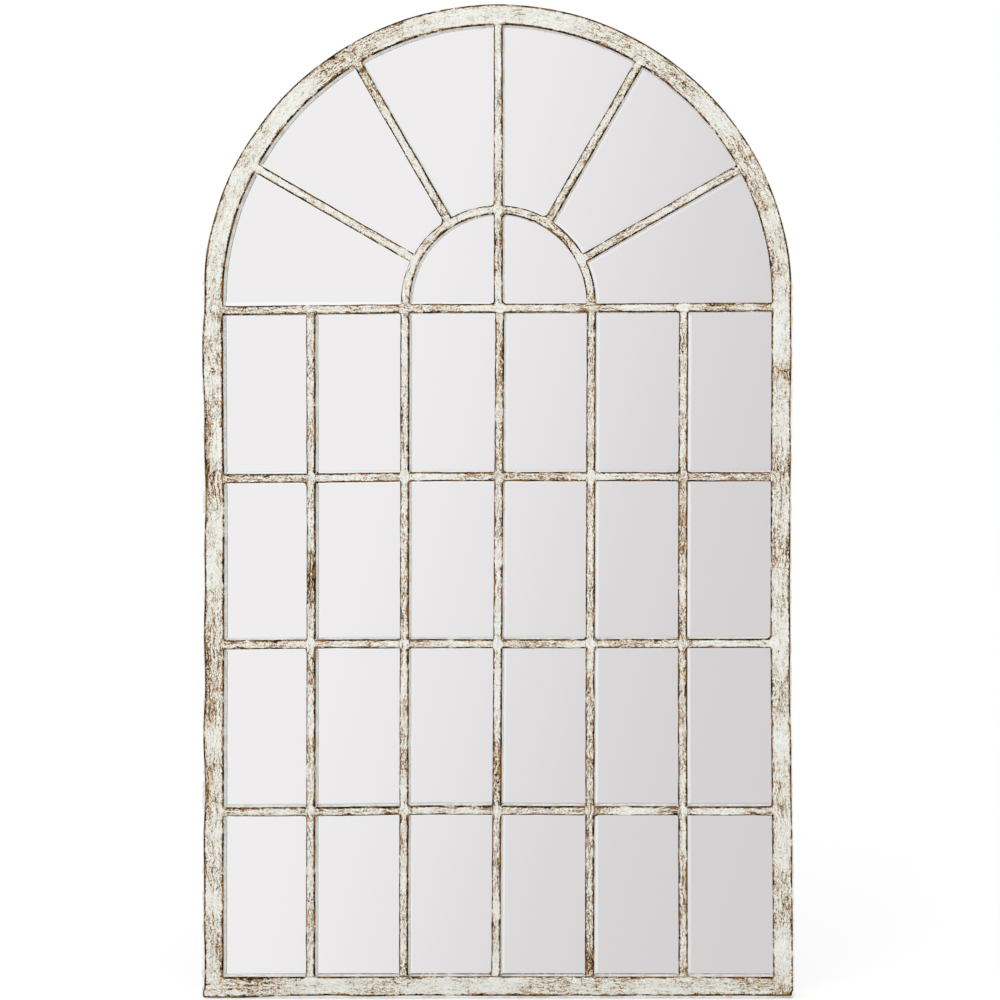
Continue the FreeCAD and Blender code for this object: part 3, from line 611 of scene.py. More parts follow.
class Shader:
    """Short way to build the nodes of a material or a world."""

    def __init__(self, owner):
        owner.use_nodes = True
        self.owner, self.tree = owner, owner.node_tree
        self.tree.nodes.clear()

    def make(self, kind, inputs=(), output=0, **settings):
        """Add a node, feed its inputs by number or by name, and return one output."""
        made = self.tree.nodes.new(kind)
        for key, value in settings.items():
            setattr(made, key, value)
        for key, value in inputs.items() if isinstance(inputs, dict) else enumerate(inputs):
            socket = made.inputs[key]
            if isinstance(value, Signal):
                self.tree.links.new(value.socket, socket)
            elif isinstance(value, tuple) and socket.type == "RGBA":
                socket.default_value = (*value, 1)
            else:
                socket.default_value = value
        return Signal(self, made.outputs[output]) if made.outputs else None

    def math(self, operation, *numbers):
        """Math node."""
        return self.make("ShaderNodeMath", numbers, operation=operation)

    def step(self, value, low, high, to_low=0.0, to_high=1.0, kind="SMOOTHSTEP"):
        """Smooth step between two values."""
        return self.make("ShaderNodeMapRange", {
            "Value": value, "From Min": low, "From Max": high,
            "To Min": to_low, "To Max": to_high}, interpolation_type=kind)

    def noise(self, vector, scale, detail=2.0, roughness=0.5, distortion=0.0):
        """Noise texture, about 0 to 1."""
        return self.make("ShaderNodeTexNoise", {
            "Vector": vector, "Scale": scale, "Detail": detail, "Roughness": roughness,
            "Distortion": distortion})

    def mix(self, share, a, b):
        """Mix of two colours."""
        return self.make("ShaderNodeMix", {"Factor": share, "A": a, "B": b}, "Result",
                         data_type="RGBA")

    def ramp(self, value, ends, stops):
        """Colour ramp with two end colours and the stops between them."""
        made = self.make("ShaderNodeValToRGB", (value,))
        elements = made.socket.node.color_ramp.elements
        elements[0].color, elements[1].color = [(*colour, 1) for colour in ends]
        for place, colour in stops:
            elements.new(place).color = (*colour, 1)
        return made

    def attribute(self, name):
        """Value stored on the mesh."""
        return self.make("ShaderNodeAttribute", output="Fac", attribute_name=name)

    def combine(self, x, y, z):
        """Vector from three numbers."""
        return self.make("ShaderNodeCombineXYZ", (x, y, z))

    def place(self):
        """Place on the object, in metres."""
        return self.make("ShaderNodeTexCoord", output="Object")

    def bump(self, height, distance, strength):
        """Normal of a fine relief."""
        return self.make("ShaderNodeBump", {
            "Strength": strength, "Distance": distance, "Height": height})

    def ray(self, name):
        """Whether the light path is of a kind."""
        return self.make("ShaderNodeLightPath", output=name)

    def either(self, share, a, b):
        """Mix of two surfaces or backgrounds."""
        return self.make("ShaderNodeMixShader", (share, a, b))

    def finish(self, **inputs):
        """Principled surface with the given inputs."""
        named = {key.replace("_", " "): value for key, value in inputs.items()}
        self.make("ShaderNodeOutputMaterial", (self.make("ShaderNodeBsdfPrincipled", named),))
        return self.owner


def new_material(name):
    """Empty material."""
    return Shader(bpy.data.materials.new(name))


def linear(red, green, blue):
    """Linear colour of an sRGB colour from 0 to 255."""
    shares = [value / 255 for value in (red, green, blue)]
    return tuple(s / 12.92 if s <= 0.04045 else ((s + 0.055) / 1.055) ** 2.4 for s in shares)


# ------ distressed ivory paint

# Share of the worn scale, from bare brown to clean ivory, and the colour at each share.
PAINT_SCALE = [(0.00, (38, 17, 5)), (0.08, (80, 46, 17)), (0.17, (131, 90, 43)),
               (0.26, (168, 133, 83)), (0.35, (197, 178, 144)), (0.45, (217, 211, 195)),
               (0.58, (230, 229, 219)), (0.75, (238, 239, 232)), (1.00, (249, 250, 244))]
OCHRE = (168, 116, 52)
SMOOTH_PAINT = (250, 250, 247)
SMOOTH_SHADE = (226, 224, 217)

# The scale of a piece of paint that is neither worn nor rubbed.
PLAIN_STATE = 0.70

# How far the dark line lies in from where it is measured, and a weld's rim from its middle.
LINE_CENTRE = 0.9
SEAM_CENTRE = 0.8
WELD_RIM = 12.0


def ivory_paint():
    """Thick ivory paint over a brown glaze: dark lines along the edges, streaks, flecks, chips."""
    s = new_material("ivory_paint")
    across, along, edge, seam, joint, extra = [
        s.attribute(name) for name in ("across", "along", "edge", "seam", "joint", "wear")]
    broad, lengthways = across * MM, along * MM
    place = s.combine(broad, lengthways, 0.0)
    leaning = broad + (s.noise(place, 28) - 0.5) * 0.016
    world = s.place()

    def brushed(stretch, level):
        """Place for a noise that is drawn out along the bar."""
        return s.combine(leaning, along * (stretch * MM), level)

    # Bare smooth strips: the arris outside the dark line, and the sides of the bars. The rim's
    # own sides, further from the line, are worn like the faces.
    on_rim = s.step(edge, -8.0, -6.0, 1.0, 0.0)
    on_face = s.math("MAXIMUM", s.step(edge, -0.7, 0.1), on_rim)
    welded = s.step(joint, 6.0, 10.5, 1.0, 0.0)

    # One scale of wear, from slow patches, brush streaks and fine flecks.
    worn = s.noise(world, 15, 3, 0.6) - 0.5
    cloud = s.noise(world, 80, 3, 0.6)
    streak = s.noise(brushed(0.22, 0.0), 430, 3, 0.7) - 0.5
    long_streak = s.noise(brushed(0.045, 5.0), 330, 2, 0.5) - 0.5
    fleck = s.noise(brushed(0.6, 7.0), 620, 2, 0.7, 0.4) - 0.5
    speck = s.noise(brushed(0.5, 17.0), 520, 1, 0.5)
    line_place = s.combine(across * (0.3 * MM), lengthways, 3.0)
    fringe = s.step(s.noise(line_place, 26, 3, 0.6), 0.36, 0.66, 1.6, 6.5)
    by_edge = s.step(edge / fringe, 0.15, 1.0, 1.0, 0.0) * (1.0 - on_rim)
    net = s.noise(brushed(0.45, 9.0), 270, 2, 0.55, 0.3)
    netted = s.step(abs(net - 0.5), 0.015, 0.10, 1.0, 0.0)
    state = streak * 2.6 + long_streak * 1.6 + fleck * 2.4
    state = state * s.step(worn, -0.10, 0.10, 0.90, 0.5) * (by_edge * 0.55 + 0.85)
    state = state + worn * 0.8 - netted * s.step(worn, -0.12, 0.1, 0.22, 0.10)
    state = state + (PLAIN_STATE - extra) - by_edge * 0.30 + welded * 0.08
    state = state - s.step(speck, 0.68, 0.74, 0.0, 0.35)

    # Dark broken line along each edge, mostly painted over at the welds.
    amount = s.noise(line_place, 50, 4, 0.65) + (s.noise(world, 7, 2, 0.5) - 0.5) * 0.45
    amount = amount - welded * 0.12
    width = s.step(amount, 0.32, 0.58, 0.4, 1.5)
    ragged = s.step(s.noise(place, 420, 3, 0.6), 0.3, 0.7, -0.6, 0.6)
    line = 1.0 - s.step(abs(edge + ragged - LINE_CENTRE) / width, 0.6, 1.2)
    depth = line * s.step(amount, 0.32, 0.56, 0.40, 0.95)
    state = s.math("MINIMUM", state, 1.0 - depth) - depth * 0.25

    # Hairline cracks, the crack where one member ends on another, and the rim of each weld.
    vein = s.noise(place, 150, 4, 0.6, 0.3)
    veined = (1.0 - s.step(abs(vein - 0.5), 0.006, 0.022)) * s.step(cloud, 0.44, 0.56)
    stray = s.step(s.noise(place, 120, 3, 0.6), 0.3, 0.7, -2.0, 2.0)
    crack = s.math("MINIMUM", abs(seam - SEAM_CENTRE + stray), abs(joint - WELD_RIM + stray * 1.5))
    cracked = 1.0 - s.step(crack, 0.4, 1.2)
    cracked = cracked * s.step(s.noise(place, 70, 2, 0.5), 0.44, 0.56)
    state = state - s.math("MAXIMUM", veined, cracked) * 0.34

    stops = [(share, linear(*colour)) for share, colour in PAINT_SCALE]
    scale = s.ramp(state, (stops[0][1], stops[-1][1]), stops[1:-1])
    ochre = s.mix(s.step(cloud, 0.46, 0.60, 0.0, 0.55), scale, linear(*OCHRE))
    colour = s.mix(s.step(state, 0.08, 0.42, 1.0, 0.0), scale, ochre)
    smooth = s.mix(s.step(cloud, 0.45, 0.65), linear(*SMOOTH_PAINT), linear(*SMOOTH_SHADE))
    colour = s.mix(on_face, smooth, colour)
    height = s.step(state, 0.0, 0.6) * on_face
    return s.finish(Base_Color=colour, Roughness=s.step(state, 0.0, 0.7, 0.72, 0.5),
                    Specular_IOR_Level=0.2, Normal=s.bump(height, 0.0004, 0.5))


PAINT = ivory_paint()


# ------ bars in place

# Where along the grain each bar starts, so that no two are painted alike.
GRAIN = {"left_stile": 0.0, "right_stile": 1300.0, "bottom_rail": 2600.0, "arch_bar": 4000.0,
         "transom": 6000.0, "mullion": 7000.0, "crossbars": 13000.0, "hub_ring": 17000.0,
         "centre_bar": 18000.0, "fan_ray": 19000.0}
MULLION_GRAIN = 1000
CROSSBAR_ROW_GRAIN = 1000
CROSSBAR_GRAIN = 137
HUB_GRAIN = 300
RAY_GRAIN = 500

# A bare rim wall is let into the next member's wall by this much.
WALL_OVERLAP = 0.3


def build_outer_members():
    """Stiles, bottom rail and arch bar."""
    half = FACE / 2
    left, right, level = -OUTER + half, OUTER - half, BOTTOM + half
    left_busy = [crossbar_place(n, -INNER) - FACE_FOOT for n in range(3)]
    right_busy = [crossbar_place(n, INNER) - BOTTOM for n in range(3)]
    rail_busy = [mullion_place(n, FACE_FOOT) + OUTER for n in range(5)]
    show_bar("left_stile", [
        straight("frame", (left, FACE_FOOT), (left, LEG_FOOT), half, left_busy,
                 GRAIN["left_stile"], (-1, 0)),
        rim_wall((-OUTER, BOTTOM + RIM_WALL), (-OUTER, FACE_FOOT + WALL_OVERLAP), (-1, 0))])
    show_bar("right_stile", [
        straight("frame", (right, BOTTOM), (right, LEG_FOOT), half, right_busy,
                 GRAIN["right_stile"], (1, 0))])
    show_bar("bottom_rail", [
        straight("frame", (-OUTER, level), (INNER, level), half, rail_busy,
                 GRAIN["bottom_rail"], (0, -1)),
        rim_wall((INNER - WALL_OVERLAP, BOTTOM), (OUTER - RIM_WALL, BOTTOM), (0, -1))])

    # The arch runs up its left leg, round, and down its right leg.
    radius = OUTER - half
    quarter = radius * math.pi / 2
    busy = [TRANSOM - LEG_FOOT, -LEG_FOOT + quarter,
            -LEG_FOOT * 2 + 2 * quarter + LEG_FOOT - TRANSOM]
    for angle in RAY_ANGLES:
        end = ray_ends(angle)[1]
        busy.append(-LEG_FOOT + radius * (math.pi - math.atan2(end[1], end[0])))
    places = stations(-2 * LEG_FOOT + 2 * quarter, busy)
    run = places + LEG_FOOT
    turn = np.clip(run / radius, 0, math.pi)
    across = np.stack([-np.cos(turn), np.sin(turn)], axis=1)
    centre = radius * across
    centre[:, 1] += np.minimum(run, 0) - np.maximum(run - 2 * quarter, 0)
    show_bar("arch_bar", [member("frame", centre, across, half, places + GRAIN["arch_bar"], True)])


def build_grid():
    """Transom, mullions and the short crossbars between them."""
    busy = [mullion_place(n, TRANSOM) + INNER for n in range(5)]
    busy += [INNER - HUB_RADIUS, INNER, INNER + HUB_RADIUS, 0.0, 2 * INNER]
    show_bar("transom", [level_bar("transom", transom_place, -INNER, INNER, busy,
                                   GRAIN["transom"])])
    for n in range(5):
        across = mullion_place(n, FACE_FOOT)
        foot = (across, rail_top(across))
        top = (mullion_place(n, TRANSOM - HALF_BAR), transom_place(across) - HALF_BAR)
        busy = [crossbar_place(i, across) - foot[1] for i in range(3)] + [0.0, top[1] - foot[1]]
        name = "mullion_%d" % (n + 1)
        show_bar(name, [straight(name, foot, top, HALF_BAR, busy,
                                 GRAIN["mullion"] + MULLION_GRAIN * n)])
    for n, name in enumerate(CROSSBAR_NAMES):
        sides = [mullion_place(column, CROSSBARS[n]) for column in range(5)]
        lefts = [-INNER] + [side + HALF_BAR for side in sides]
        rights = [side - HALF_BAR for side in sides] + [INNER]
        show_bar(name, [
            level_bar(name, lambda x, n=n: crossbar_place(n, x), left, right, [0.0, right - left],
                      GRAIN["crossbars"] + CROSSBAR_ROW_GRAIN * n + CROSSBAR_GRAIN * column)
            for column, (left, right) in enumerate(zip(lefts, rights))])


def build_fan():
    """Hub ring in its two quarters, centre bar and rays."""
    sweeps = []
    for side in (1, -1):
        ring_foot = transom_place(side * HUB_RADIUS) + HALF_BAR - HUB_CENTRE
        foot_turn = math.asin(ring_foot / HUB_RADIUS)
        top_turn = math.acos(HALF_BAR / HUB_RADIUS)
        length = HUB_RADIUS * (top_turn - foot_turn)
        places = stations(length, [0.0, length, HUB_RADIUS * math.pi / 6, HUB_RADIUS * math.pi / 3])
        turn = foot_turn + places / HUB_RADIUS
        across = np.stack([side * np.cos(turn), np.sin(turn)], axis=1)
        centre = HUB + HUB_RADIUS * across
        sweeps.append(member("hub_ring", centre[::side], across[::side], HALF_BAR,
                             places + GRAIN["hub_ring"] + HUB_GRAIN * side))
    show_bar("hub_ring", sweeps)

    foot = transom_place(0) + HALF_BAR
    busy = [0.0, HUB_CENTRE + HUB_RADIUS - foot, INNER - foot]
    show_bar("centre_bar", [straight("centre_bar", (HUB_SHIFT, foot), (HUB_SHIFT, INNER - 0.05),
                                     HALF_BAR, busy, GRAIN["centre_bar"])])
    for n, angle in enumerate(RAY_ANGLES):
        start, end = ray_ends(angle)
        name = "fan_ray_%d" % (n + 1)
        show_bar(name, [straight(name, start, end, HALF_BAR, [0.0, np.linalg.norm(end - start)],
                                 GRAIN["fan_ray"] + RAY_GRAIN * n)])


build_outer_members()
build_grid()
build_fan()


# ------ weld beads

BEAD_RADIUS = 2.6
BEAD_RINGS = 5
BEAD_SPOKES = 14
BEAD_OVAL = 0.12
BEAD_ROUGH = 0.05
BEAD_FOOT = 0.3
BEAD_HEIGHT = BAR_DEPTH - ARRIS * 0.55
BEAD_SINK = 0.4
BEAD_EDGE = (0.6, 3.5)
BEAD_JOINT = 7.0


def bead(x, z, spread, seed):
    """Small lump of weld metal, sunk into the corner between two bars."""
    rng = np.random.default_rng(seed)
    points, edges = [], []
    for ring in range(BEAD_RINGS + 1):
        tilt = ring / BEAD_RINGS * math.pi / 2
        for spoke in range(BEAD_SPOKES):
            turn = spoke / BEAD_SPOKES * 2 * math.pi
            rough = rng.uniform(-BEAD_ROUGH, BEAD_ROUGH)
            size = BEAD_RADIUS * (1 + BEAD_OVAL * math.sin(2 * turn + seed) + rough)
            radius = size * math.cos(tilt) * spread
            level = BAR_BACK + BEAD_FOOT + BEAD_HEIGHT * math.sin(tilt)
            points.append((x + radius * math.cos(turn), -level, z + radius * math.sin(turn)))
            edges.append(BEAD_EDGE[0] + BEAD_EDGE[1] * math.sin(tilt))
    faces = faces_of(BEAD_RINGS + 1, BEAD_SPOKES, 0)[:-1]
    return points, faces, edges


def build_beads():
    """The weld metal at the crossings, as one piece of small solids."""
    vertices, faces, edges = [], [], []
    inset = HALF_BAR - BEAD_SINK
    for column in range(5):
        for row in range(3):
            x = mullion_place(column, CROSSBARS[row])
            z = crossbar_place(row, x)
            for side, rise in ((-1, -1), (-1, 1), (1, -1), (1, 1)):
                spread = 0.75 + 0.3 * RANDOM.random()
                points, quads, depths = bead(x + side * inset, z + rise * inset, spread,
                                             100 + len(vertices))
                faces += [tuple(i + len(vertices) for i in face) for face in quads]
                vertices += points
                edges += depths
    x, _, z = np.array(vertices).T
    even = np.ones(len(vertices))
    show_painted("weld_fillets", vertices, faces, {
        "edge": edges, "across": x, "along": z, "seam": FAR_FROM_SEAM * even,
        "joint": BEAD_JOINT * even, "wear": wear(x, z)})


build_beads()


# ------ mirror glass

# Strength of the painted reflection on bevels that face down, for each row of panes and for the
# fan.
BOTTOM_PAINTED_REFLECTION = [0.7, 0.9, 1.0, 0.3, 0.25]
TOP_PAINTED_REFLECTION = 0.2
FAN_ROW = 4
BEVEL_SHADING = 0.65
# The painted reflection is strongest on the left of the window and fades towards the right.
PAINTED_REFLECTION_PLACES = [-300, 0, 330]
PAINTED_REFLECTION_STRENGTH = [1.0, 0.8, 0.35]

# PLAIN_GLASS is the silvered glass. The bevel's white line and green band below are painted
# reflection; the green is partly the glass edge's own colour.
PLAIN_GLASS = (0.930, 0.913, 0.922)
WHITE = (1.0, 1.0, 1.0)
GREEN_BAND_AND_PAINTED_REFLECTION = (0.78, 0.87, 0.86)
GREEN_FADE_AND_PAINTED_REFLECTION = (0.93, 0.985, 0.98)

# A narrow flat ring inside the bevel, which keeps the bevel's shading off the pane.
FLAT_RING = 0.6
ARC_POINTS = 40


def mirror_glass():
    """Silvered glass with a bevel. Painted reflection on the bevel: a pale green band, partly the
    glass edge's own green, with a painted white highlight line outside it.
    """
    s = new_material("mirror_glass")
    rim, tint = s.attribute("rim"), s.attribute("tint")
    world = s.place()
    # Painted reflection on the bevel, as strong as the tint attribute says: a white line by the
    # bars, a green band, then a fade to plain glass. shade makes it patchy.
    drift = s.step(s.noise(world, 30, 2, 0.5), 0.3, 0.7, -0.35, 0.35)
    shade = s.step(s.noise(world, 9, 1, 0.5), 0.40, 0.62, 0.75, 1.0)
    shifted = rim + drift
    band = s.mix(tint * shade, PLAIN_GLASS, GREEN_BAND_AND_PAINTED_REFLECTION)
    fade = s.mix(tint * shade, PLAIN_GLASS, GREEN_FADE_AND_PAINTED_REFLECTION)
    # line is a painted white highlight: the bars' sides reflected in the bevel.
    line = s.mix(s.step(tint, 0.0, 0.25), PLAIN_GLASS, WHITE)
    colour = s.mix(s.step(shifted, 6.2, 6.6), line, band)
    colour = s.mix(s.step(shifted, 8.0, 8.5), colour, fade)
    colour = s.mix(s.step(rim, BEVEL_WIDTH - 0.1, BEVEL_WIDTH + 0.1), colour, PLAIN_GLASS)
    return s.finish(Base_Color=colour, Metallic=1.0, Roughness=0.02)


GLASS = mirror_glass()


def bevel_painted_reflection(side, row):
    """How strong the painted reflection on a bevel is: most to the left and below, least to the
    right and above.
    """
    x, z = np.array([side[1], -side[0]]) / max(np.linalg.norm(side), 1e-9)
    return min(1.0, max(-x, 0.0) + max(-z, 0.0) * BOTTOM_PAINTED_REFLECTION[row] + max(z, 0.0) * TOP_PAINTED_REFLECTION)


def soften_bevel(mesh, reflection_shares, count):
    """The bevel's shading follows its slope on the sides with the painted reflection, and is nearly
    flat elsewhere.
    """
    normals = []
    for polygon in mesh.polygons:
        normal = np.array(polygon.normal)
        if 2 * count > polygon.index >= count:
            share = BEVEL_SHADING * reflection_shares[polygon.index - count]
            normal = share * normal + (1 - share) * np.array([0.0, -1.0, 0.0])
            normal = normal / np.linalg.norm(normal)
        normals += [tuple(normal)] * len(polygon.vertices)
    mesh.normals_split_custom_set(normals)


def show_pane(node, outline, row=FAN_ROW):
    """Show a pane. outline gives its corners at a lap behind the bars, and a bevel lies within."""
    flat = PANE_LAP - BEVEL_WIDTH
    rings = [(PANE_LAP, GLASS_BACK, 0.0), (PANE_LAP, GLASS_FRONT - BEVEL_DROP, 0.0),
             (flat, GLASS_FRONT, BEVEL_WIDTH),
             (flat - FLAT_RING, GLASS_FRONT, BEVEL_WIDTH + FLAT_RING)]
    vertices, rim = [], []
    for lap, level, distance in rings:
        points = outline(lap)
        vertices += [(x, -level, z) for x, z in points]
        rim += [distance] * len(points)
    count = len(points)
    mesh = new_mesh(node, vertices, faces_of(len(rings), count, 0))
    store(mesh, "rim", "POINT", rim)
    # The tint attribute holds the strength of the painted reflection on each bevel face.
    back = np.array(outline(PANE_LAP))
    reflection_shares = [bevel_painted_reflection(side, row) for side in np.roll(back, -1, axis=0) - back]
    strength = np.interp(back[:, 0].mean(), PAINTED_REFLECTION_PLACES, PAINTED_REFLECTION_STRENGTH)
    shown = [tint * strength for tint in reflection_shares] * (len(rings) - 1) + [0.0, 0.0]
    store(mesh, "tint", "FACE", shown)
    soften_bevel(mesh, reflection_shares, count)
    show(node, mesh, GLASS)


def build_panes():
    """Rectangular panes, each between its own four bars."""

    def side(number, sign, z, lap):
        """Edge of a pane beside a mullion, or beside a stile."""
        if number < 0 or number > 4:
            return -sign * (INNER + lap)
        return mullion_place(number, z) + sign * (HALF_BAR - lap)

    def level(number, sign, x, lap):
        """Edge of a pane beside a crossbar, the transom or the bottom rail."""
        if number < 0:
            return transom_place(x) - HALF_BAR + lap
        if number > 2:
            return rail_top(x) - lap
        return crossbar_place(number, x) + sign * (HALF_BAR - lap)

    for row in range(4):
        for column in range(6):
            def outline(lap, row=row, column=column):
                corners = []
                for right, up in ((0, 0), (1, 0), (1, 1), (0, 1)):
                    bar, rise = row - up, 1 - 2 * up
                    x = side(column - 1 + right, 1 - 2 * right, level(bar, rise, 0, lap), lap)
                    corners.append((x, level(bar, rise, x, lap)))
                return corners
            show_pane("pane_row%d_column%d" % (row + 1, column + 1), outline, row)


def pane_sides(low, high, lap):
    """Lines that bound a pane between the bars at two angles: a point and a direction each."""
    lines = []
    for angle, sign in ((low, 1), (high, -1)):
        along, inwards = direction(angle)
        lines.append((RAY_ROOT + inwards * sign * (HALF_BAR - lap), along))
    return lines


def arc(lines, centre, radius):
    """Points along a circle, from where one line leaves it to where the other does."""
    start, end = [meet(*line, centre, radius) for line in lines]
    first = math.atan2(*(start - centre)[::-1])
    last = math.atan2(*(end - centre)[::-1])
    if last < first - math.pi:
        last += 2 * math.pi
    if last > first + math.pi:
        last -= 2 * math.pi
    turns = np.linspace(first, last, ARC_POINTS)[:-1]
    points = [centre + radius * np.array([math.cos(t), math.sin(t)]) for t in turns]
    return [tuple(point) for point in points + [end]]


def build_fan_panes():
    """Panes between the rays, and the two inside the hub ring."""
    bars = [0] + RAY_ANGLES[:2] + [90] + RAY_ANGLES[2:] + [180]
    for number, (low, high) in enumerate(zip(bars, bars[1:]), start=1):
        def outline(lap, low=low, high=high):
            lines = pane_sides(low, high, lap)
            inner = arc(lines[::-1], HUB, HUB_RADIUS + HALF_BAR - lap)
            return arc(lines, ARCH, INNER + lap) + inner
        show_pane("fan_pane_%d" % number, outline)
    for name, low, high in (("hub_pane_right", 0, 90), ("hub_pane_left", 90, 180)):
        def outline(lap, low=low, high=high):
            lines = pane_sides(low, high, lap)
            corner = lines[0][0] + lines[1][0] - RAY_ROOT
            return arc(lines, HUB, HUB_RADIUS - HALF_BAR + lap) + [tuple(corner)]
        show_pane(name, outline)


build_panes()
build_fan_panes()


# ------ back, hardware

def hardboard():
    """Smooth brown hardboard with pressed fibres and scuffs."""
    s = new_material("hardboard")
    place = s.place()
    fibres = s.noise(place, 420, 6, 0.75, 0.6)
    clouds = s.noise(place, 9, 3, 0.55)
    scuffs = s.step(s.noise(place, 26, 5, 0.7, 1.2), 0.62, 0.70)
    colour = s.mix(s.step(fibres, 0.3, 0.7), linear(92, 66, 44), linear(124, 92, 64))
    colour = s.mix(s.step(clouds, 0.35, 0.7, 0.0, 0.5), colour, linear(84, 58, 38))
    colour = s.mix(scuffs * 0.35, colour, linear(160, 132, 100))
    return s.finish(Base_Color=colour, Roughness=s.step(fibres, 0.3, 0.7, 0.55, 0.75),
                    Normal=s.bump(fibres, 0.0003, 0.5))


def brown_paint():
    """Brown primer on the lugs and brackets, rubbed at the high spots."""
    s = new_material("brown_paint")
    place = s.place()
    grain = s.noise(place, 600, 4, 0.6)
    worn = s.step(s.noise(place, 130, 5, 0.7), 0.60, 0.70)
    colour = s.mix(s.step(grain, 0.3, 0.7), linear(64, 46, 36), linear(88, 66, 50))
    colour = s.mix(worn * 0.6, colour, linear(150, 128, 106))
    return s.finish(Base_Color=colour, Roughness=s.step(worn, 0, 1, 0.5, 0.35),
                    Normal=s.bump(grain, 0.0002, 0.5))


def zinc_steel():
    """Zinc-plated steel with a faint spangle."""
    s = new_material("zinc_steel")
    place = s.place()
    spangle = s.make("ShaderNodeTexVoronoi", {"Vector": place, "Scale": 700}, "Color", feature="F1")
    haze = s.noise(place, 260, 4, 0.6)
    tint = s.mix(s.step(haze, 0.35, 0.7), linear(196, 198, 196), linear(170, 170, 162))
    return s.finish(Base_Color=s.mix(0.12, tint, spangle), Metallic=1.0,
                    Roughness=s.step(haze, 0.3, 0.7, 0.26, 0.42), Normal=s.bump(haze, 0.0001, 0.3))


def rubber():
    """Matt black rubber with a fine moulded grain."""
    s = new_material("rubber")
    place = s.place()
    grain = s.noise(place, 1500, 3, 0.6)
    dust = s.step(s.noise(place, 180, 4, 0.7), 0.55, 0.75)
    colour = s.mix(dust * 0.4, linear(30, 30, 31), linear(78, 76, 72))
    return s.finish(Base_Color=colour, Roughness=s.step(dust, 0, 1, 0.7, 0.85),
                    Normal=s.bump(grain, 0.0001, 0.6))


def dress(material, *nodes):
    """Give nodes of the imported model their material."""
    for node in nodes:
        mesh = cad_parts[node].data
        mesh.materials.clear()
        mesh.materials.append(material)


dress(hardboard(), "backboard")
dress(brown_paint(), "fixing_lugs", "hanger_brackets")
dress(zinc_steel(), "board_screws", "hanger_straps", "left_d_ring", "right_d_ring")
dress(rubber(), "wall_bumpers")


# ------ floor, light and camera

FLOOR_HALF = 14.0
FLOOR_GAP = 0.0004
FLOOR_COLOUR = (0.82, 0.82, 0.82)
# The camera sees a darker floor with a glow, so that its shadow is soft and its rest is white.
FLOOR_SEEN = (0.34, 0.34, 0.34)
FLOOR_GLOW = 0.65

# Light from the sides and from in front or behind.
SIDE_LIGHT = 1.45
FRONT_LIGHT = 0.76

# What the mirrors reflect: brightness at each slope of the view, across and a little downwards.
SLOPE_LOW, SLOPE_HIGH = -0.3, 0.2
DOWNWARD_SHARE = 0.25
REFLECTED = [(-0.23, 0.928), (-0.164, 0.893), (-0.102, 0.835), (-0.04, 0.770), (0.022, 0.730),
             (0.13, 0.70)]
PINK = 0.020

LAMP_SIZE = 1.8
LAMP_POWER = 16
LAMP_PLACE = (-1.5, -2.6, 1.5)
LAMP_AIM = (0, 0, -0.28)

CAMERA_ACROSS = 0.28
CAMERA_LEVEL = -0.225
CAMERA_DISTANCE = 2.1
WINDOW_WIDTH = 1.407
WINDOW_ACROSS = 0.0037
WINDOW_LEVEL = -0.283
SENSOR = 36.0


def studio_floor():
    """Pale floor that shows white to the camera except where the object shades it."""
    s = new_material("studio_floor")
    plain = s.make("ShaderNodeBsdfDiffuse", {"Color": FLOOR_COLOUR})
    seen = s.make("ShaderNodeAddShader", (
        s.make("ShaderNodeBsdfDiffuse", {"Color": FLOOR_SEEN}),
        s.make("ShaderNodeEmission", {"Strength": FLOOR_GLOW})))
    by_camera = s.either(s.ray("Is Camera Ray"), plain, seen)
    clear = s.make("ShaderNodeBsdfTransparent")
    s.make("ShaderNodeOutputMaterial", (s.either(s.ray("Is Glossy Ray"), by_camera, clear),))
    return s.owner


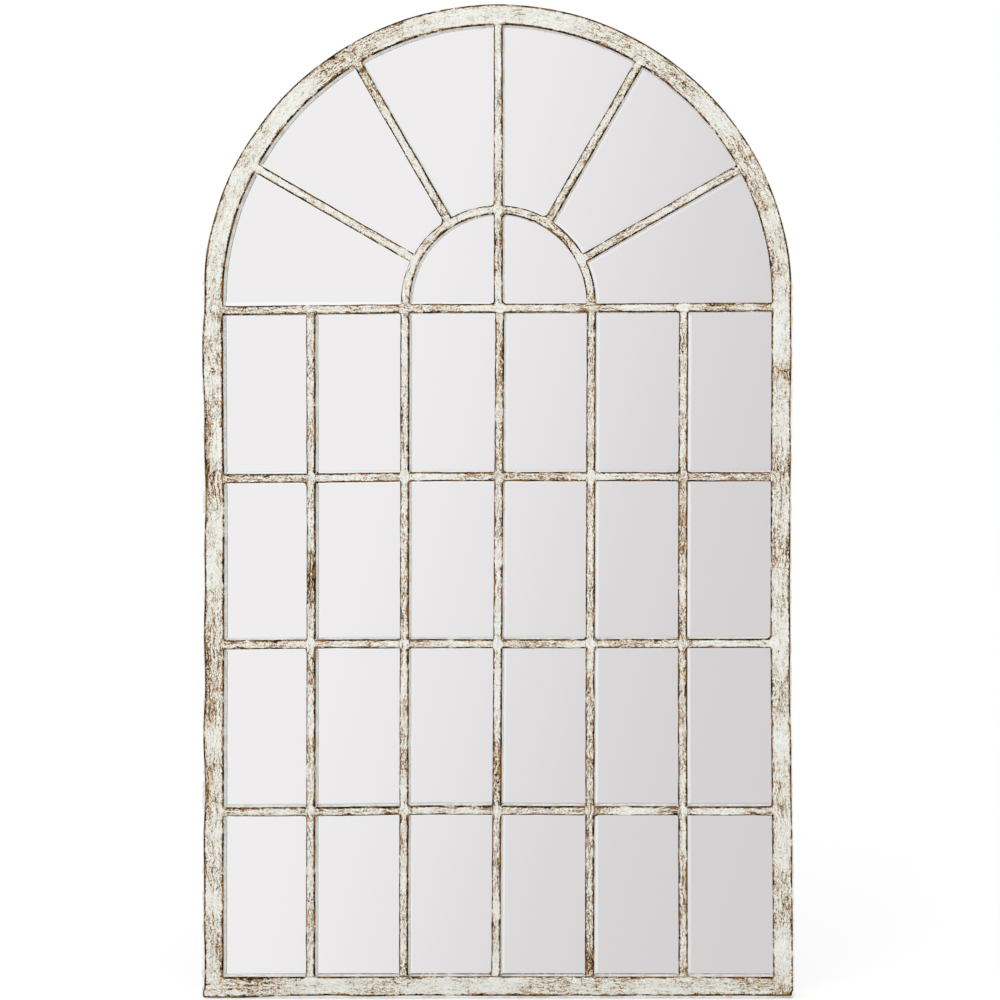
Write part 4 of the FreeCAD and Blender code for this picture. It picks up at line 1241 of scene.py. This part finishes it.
def studio_world():
    """White to the camera, even light on the object, a soft fall of brightness in the mirrors."""
    world = bpy.data.worlds.new("studio")
    bpy.context.scene.world = world
    s = Shader(world)
    view = s.make("ShaderNodeTexCoord", output="Generated")
    split = s.make("ShaderNodeSeparateXYZ", (view,))
    x, y, z = [Signal(s, socket) for socket in split.socket.node.outputs]
    forward = s.math("MAXIMUM", y * -1.0, 0.05)
    slope = x / forward + z * -1.0 / forward * DOWNWARD_SHARE
    stops = []
    for place, value in REFLECTED:
        pink = value * (1 - PINK * min(max((place + 0.15) / 0.2, 0), 1))
        stops.append(((place - SLOPE_LOW) / (SLOPE_HIGH - SLOPE_LOW), (value, pink, pink)))
    reflected = s.ramp(s.step(slope, SLOPE_LOW, SLOPE_HIGH, kind="LINEAR"),
                       (stops[0][1], stops[-1][1]), stops)
    lit = s.make("ShaderNodeBackground", {
        "Color": WHITE, "Strength": s.step(abs(y), 0.2, 0.5, SIDE_LIGHT, FRONT_LIGHT)})
    mirrored = s.make("ShaderNodeBackground", {"Color": reflected})
    shown = s.make("ShaderNodeBackground", {"Color": WHITE})
    straight_on = s.math("MAXIMUM", s.ray("Is Camera Ray"), s.ray("Is Transmission Ray"))
    unseen = s.either(s.ray("Is Glossy Ray"), lit, mirrored)
    s.make("ShaderNodeOutputWorld", (s.either(straight_on, unseen, shown),))


def build_studio():
    """Floor, lamp, world and camera."""
    mesh = bpy.data.meshes.new("floor")
    z = BOTTOM * MM - FLOOR_GAP
    corners = [(x * FLOOR_HALF, y * FLOOR_HALF, z) for x, y in ((-1, -1), (1, -1), (1, 1), (-1, 1))]
    mesh.from_pydata(corners, [], [(0, 1, 2, 3)])
    mesh.materials.append(studio_floor())
    placed("floor", mesh)
    studio_world()

    lamp = bpy.data.lights.new("key", "AREA")
    lamp.shape = "SQUARE"
    lamp.size = LAMP_SIZE
    lamp.energy = LAMP_POWER
    key = placed("key", lamp)
    key.location = LAMP_PLACE
    key.rotation_mode = "QUATERNION"
    aim = np.array(LAMP_AIM) - np.array(key.location)
    key.rotation_quaternion = Vector(aim).to_track_quat("-Z", "Y")
    key.visible_glossy = False

    data = bpy.data.cameras.new("camera")
    camera = placed("camera", data)
    camera.location = (CAMERA_ACROSS, -FRONT * MM - CAMERA_DISTANCE, CAMERA_LEVEL)
    camera.rotation_euler = (math.pi / 2, 0, 0)
    data.sensor_width = SENSOR
    data.lens = SENSOR * CAMERA_DISTANCE / WINDOW_WIDTH
    data.shift_x = (WINDOW_ACROSS - CAMERA_ACROSS) / WINDOW_WIDTH
    data.shift_y = (WINDOW_LEVEL - CAMERA_LEVEL) / WINDOW_WIDTH
    bpy.context.scene.camera = camera
    bpy.context.scene.view_settings.view_transform = "Standard"


build_studio()
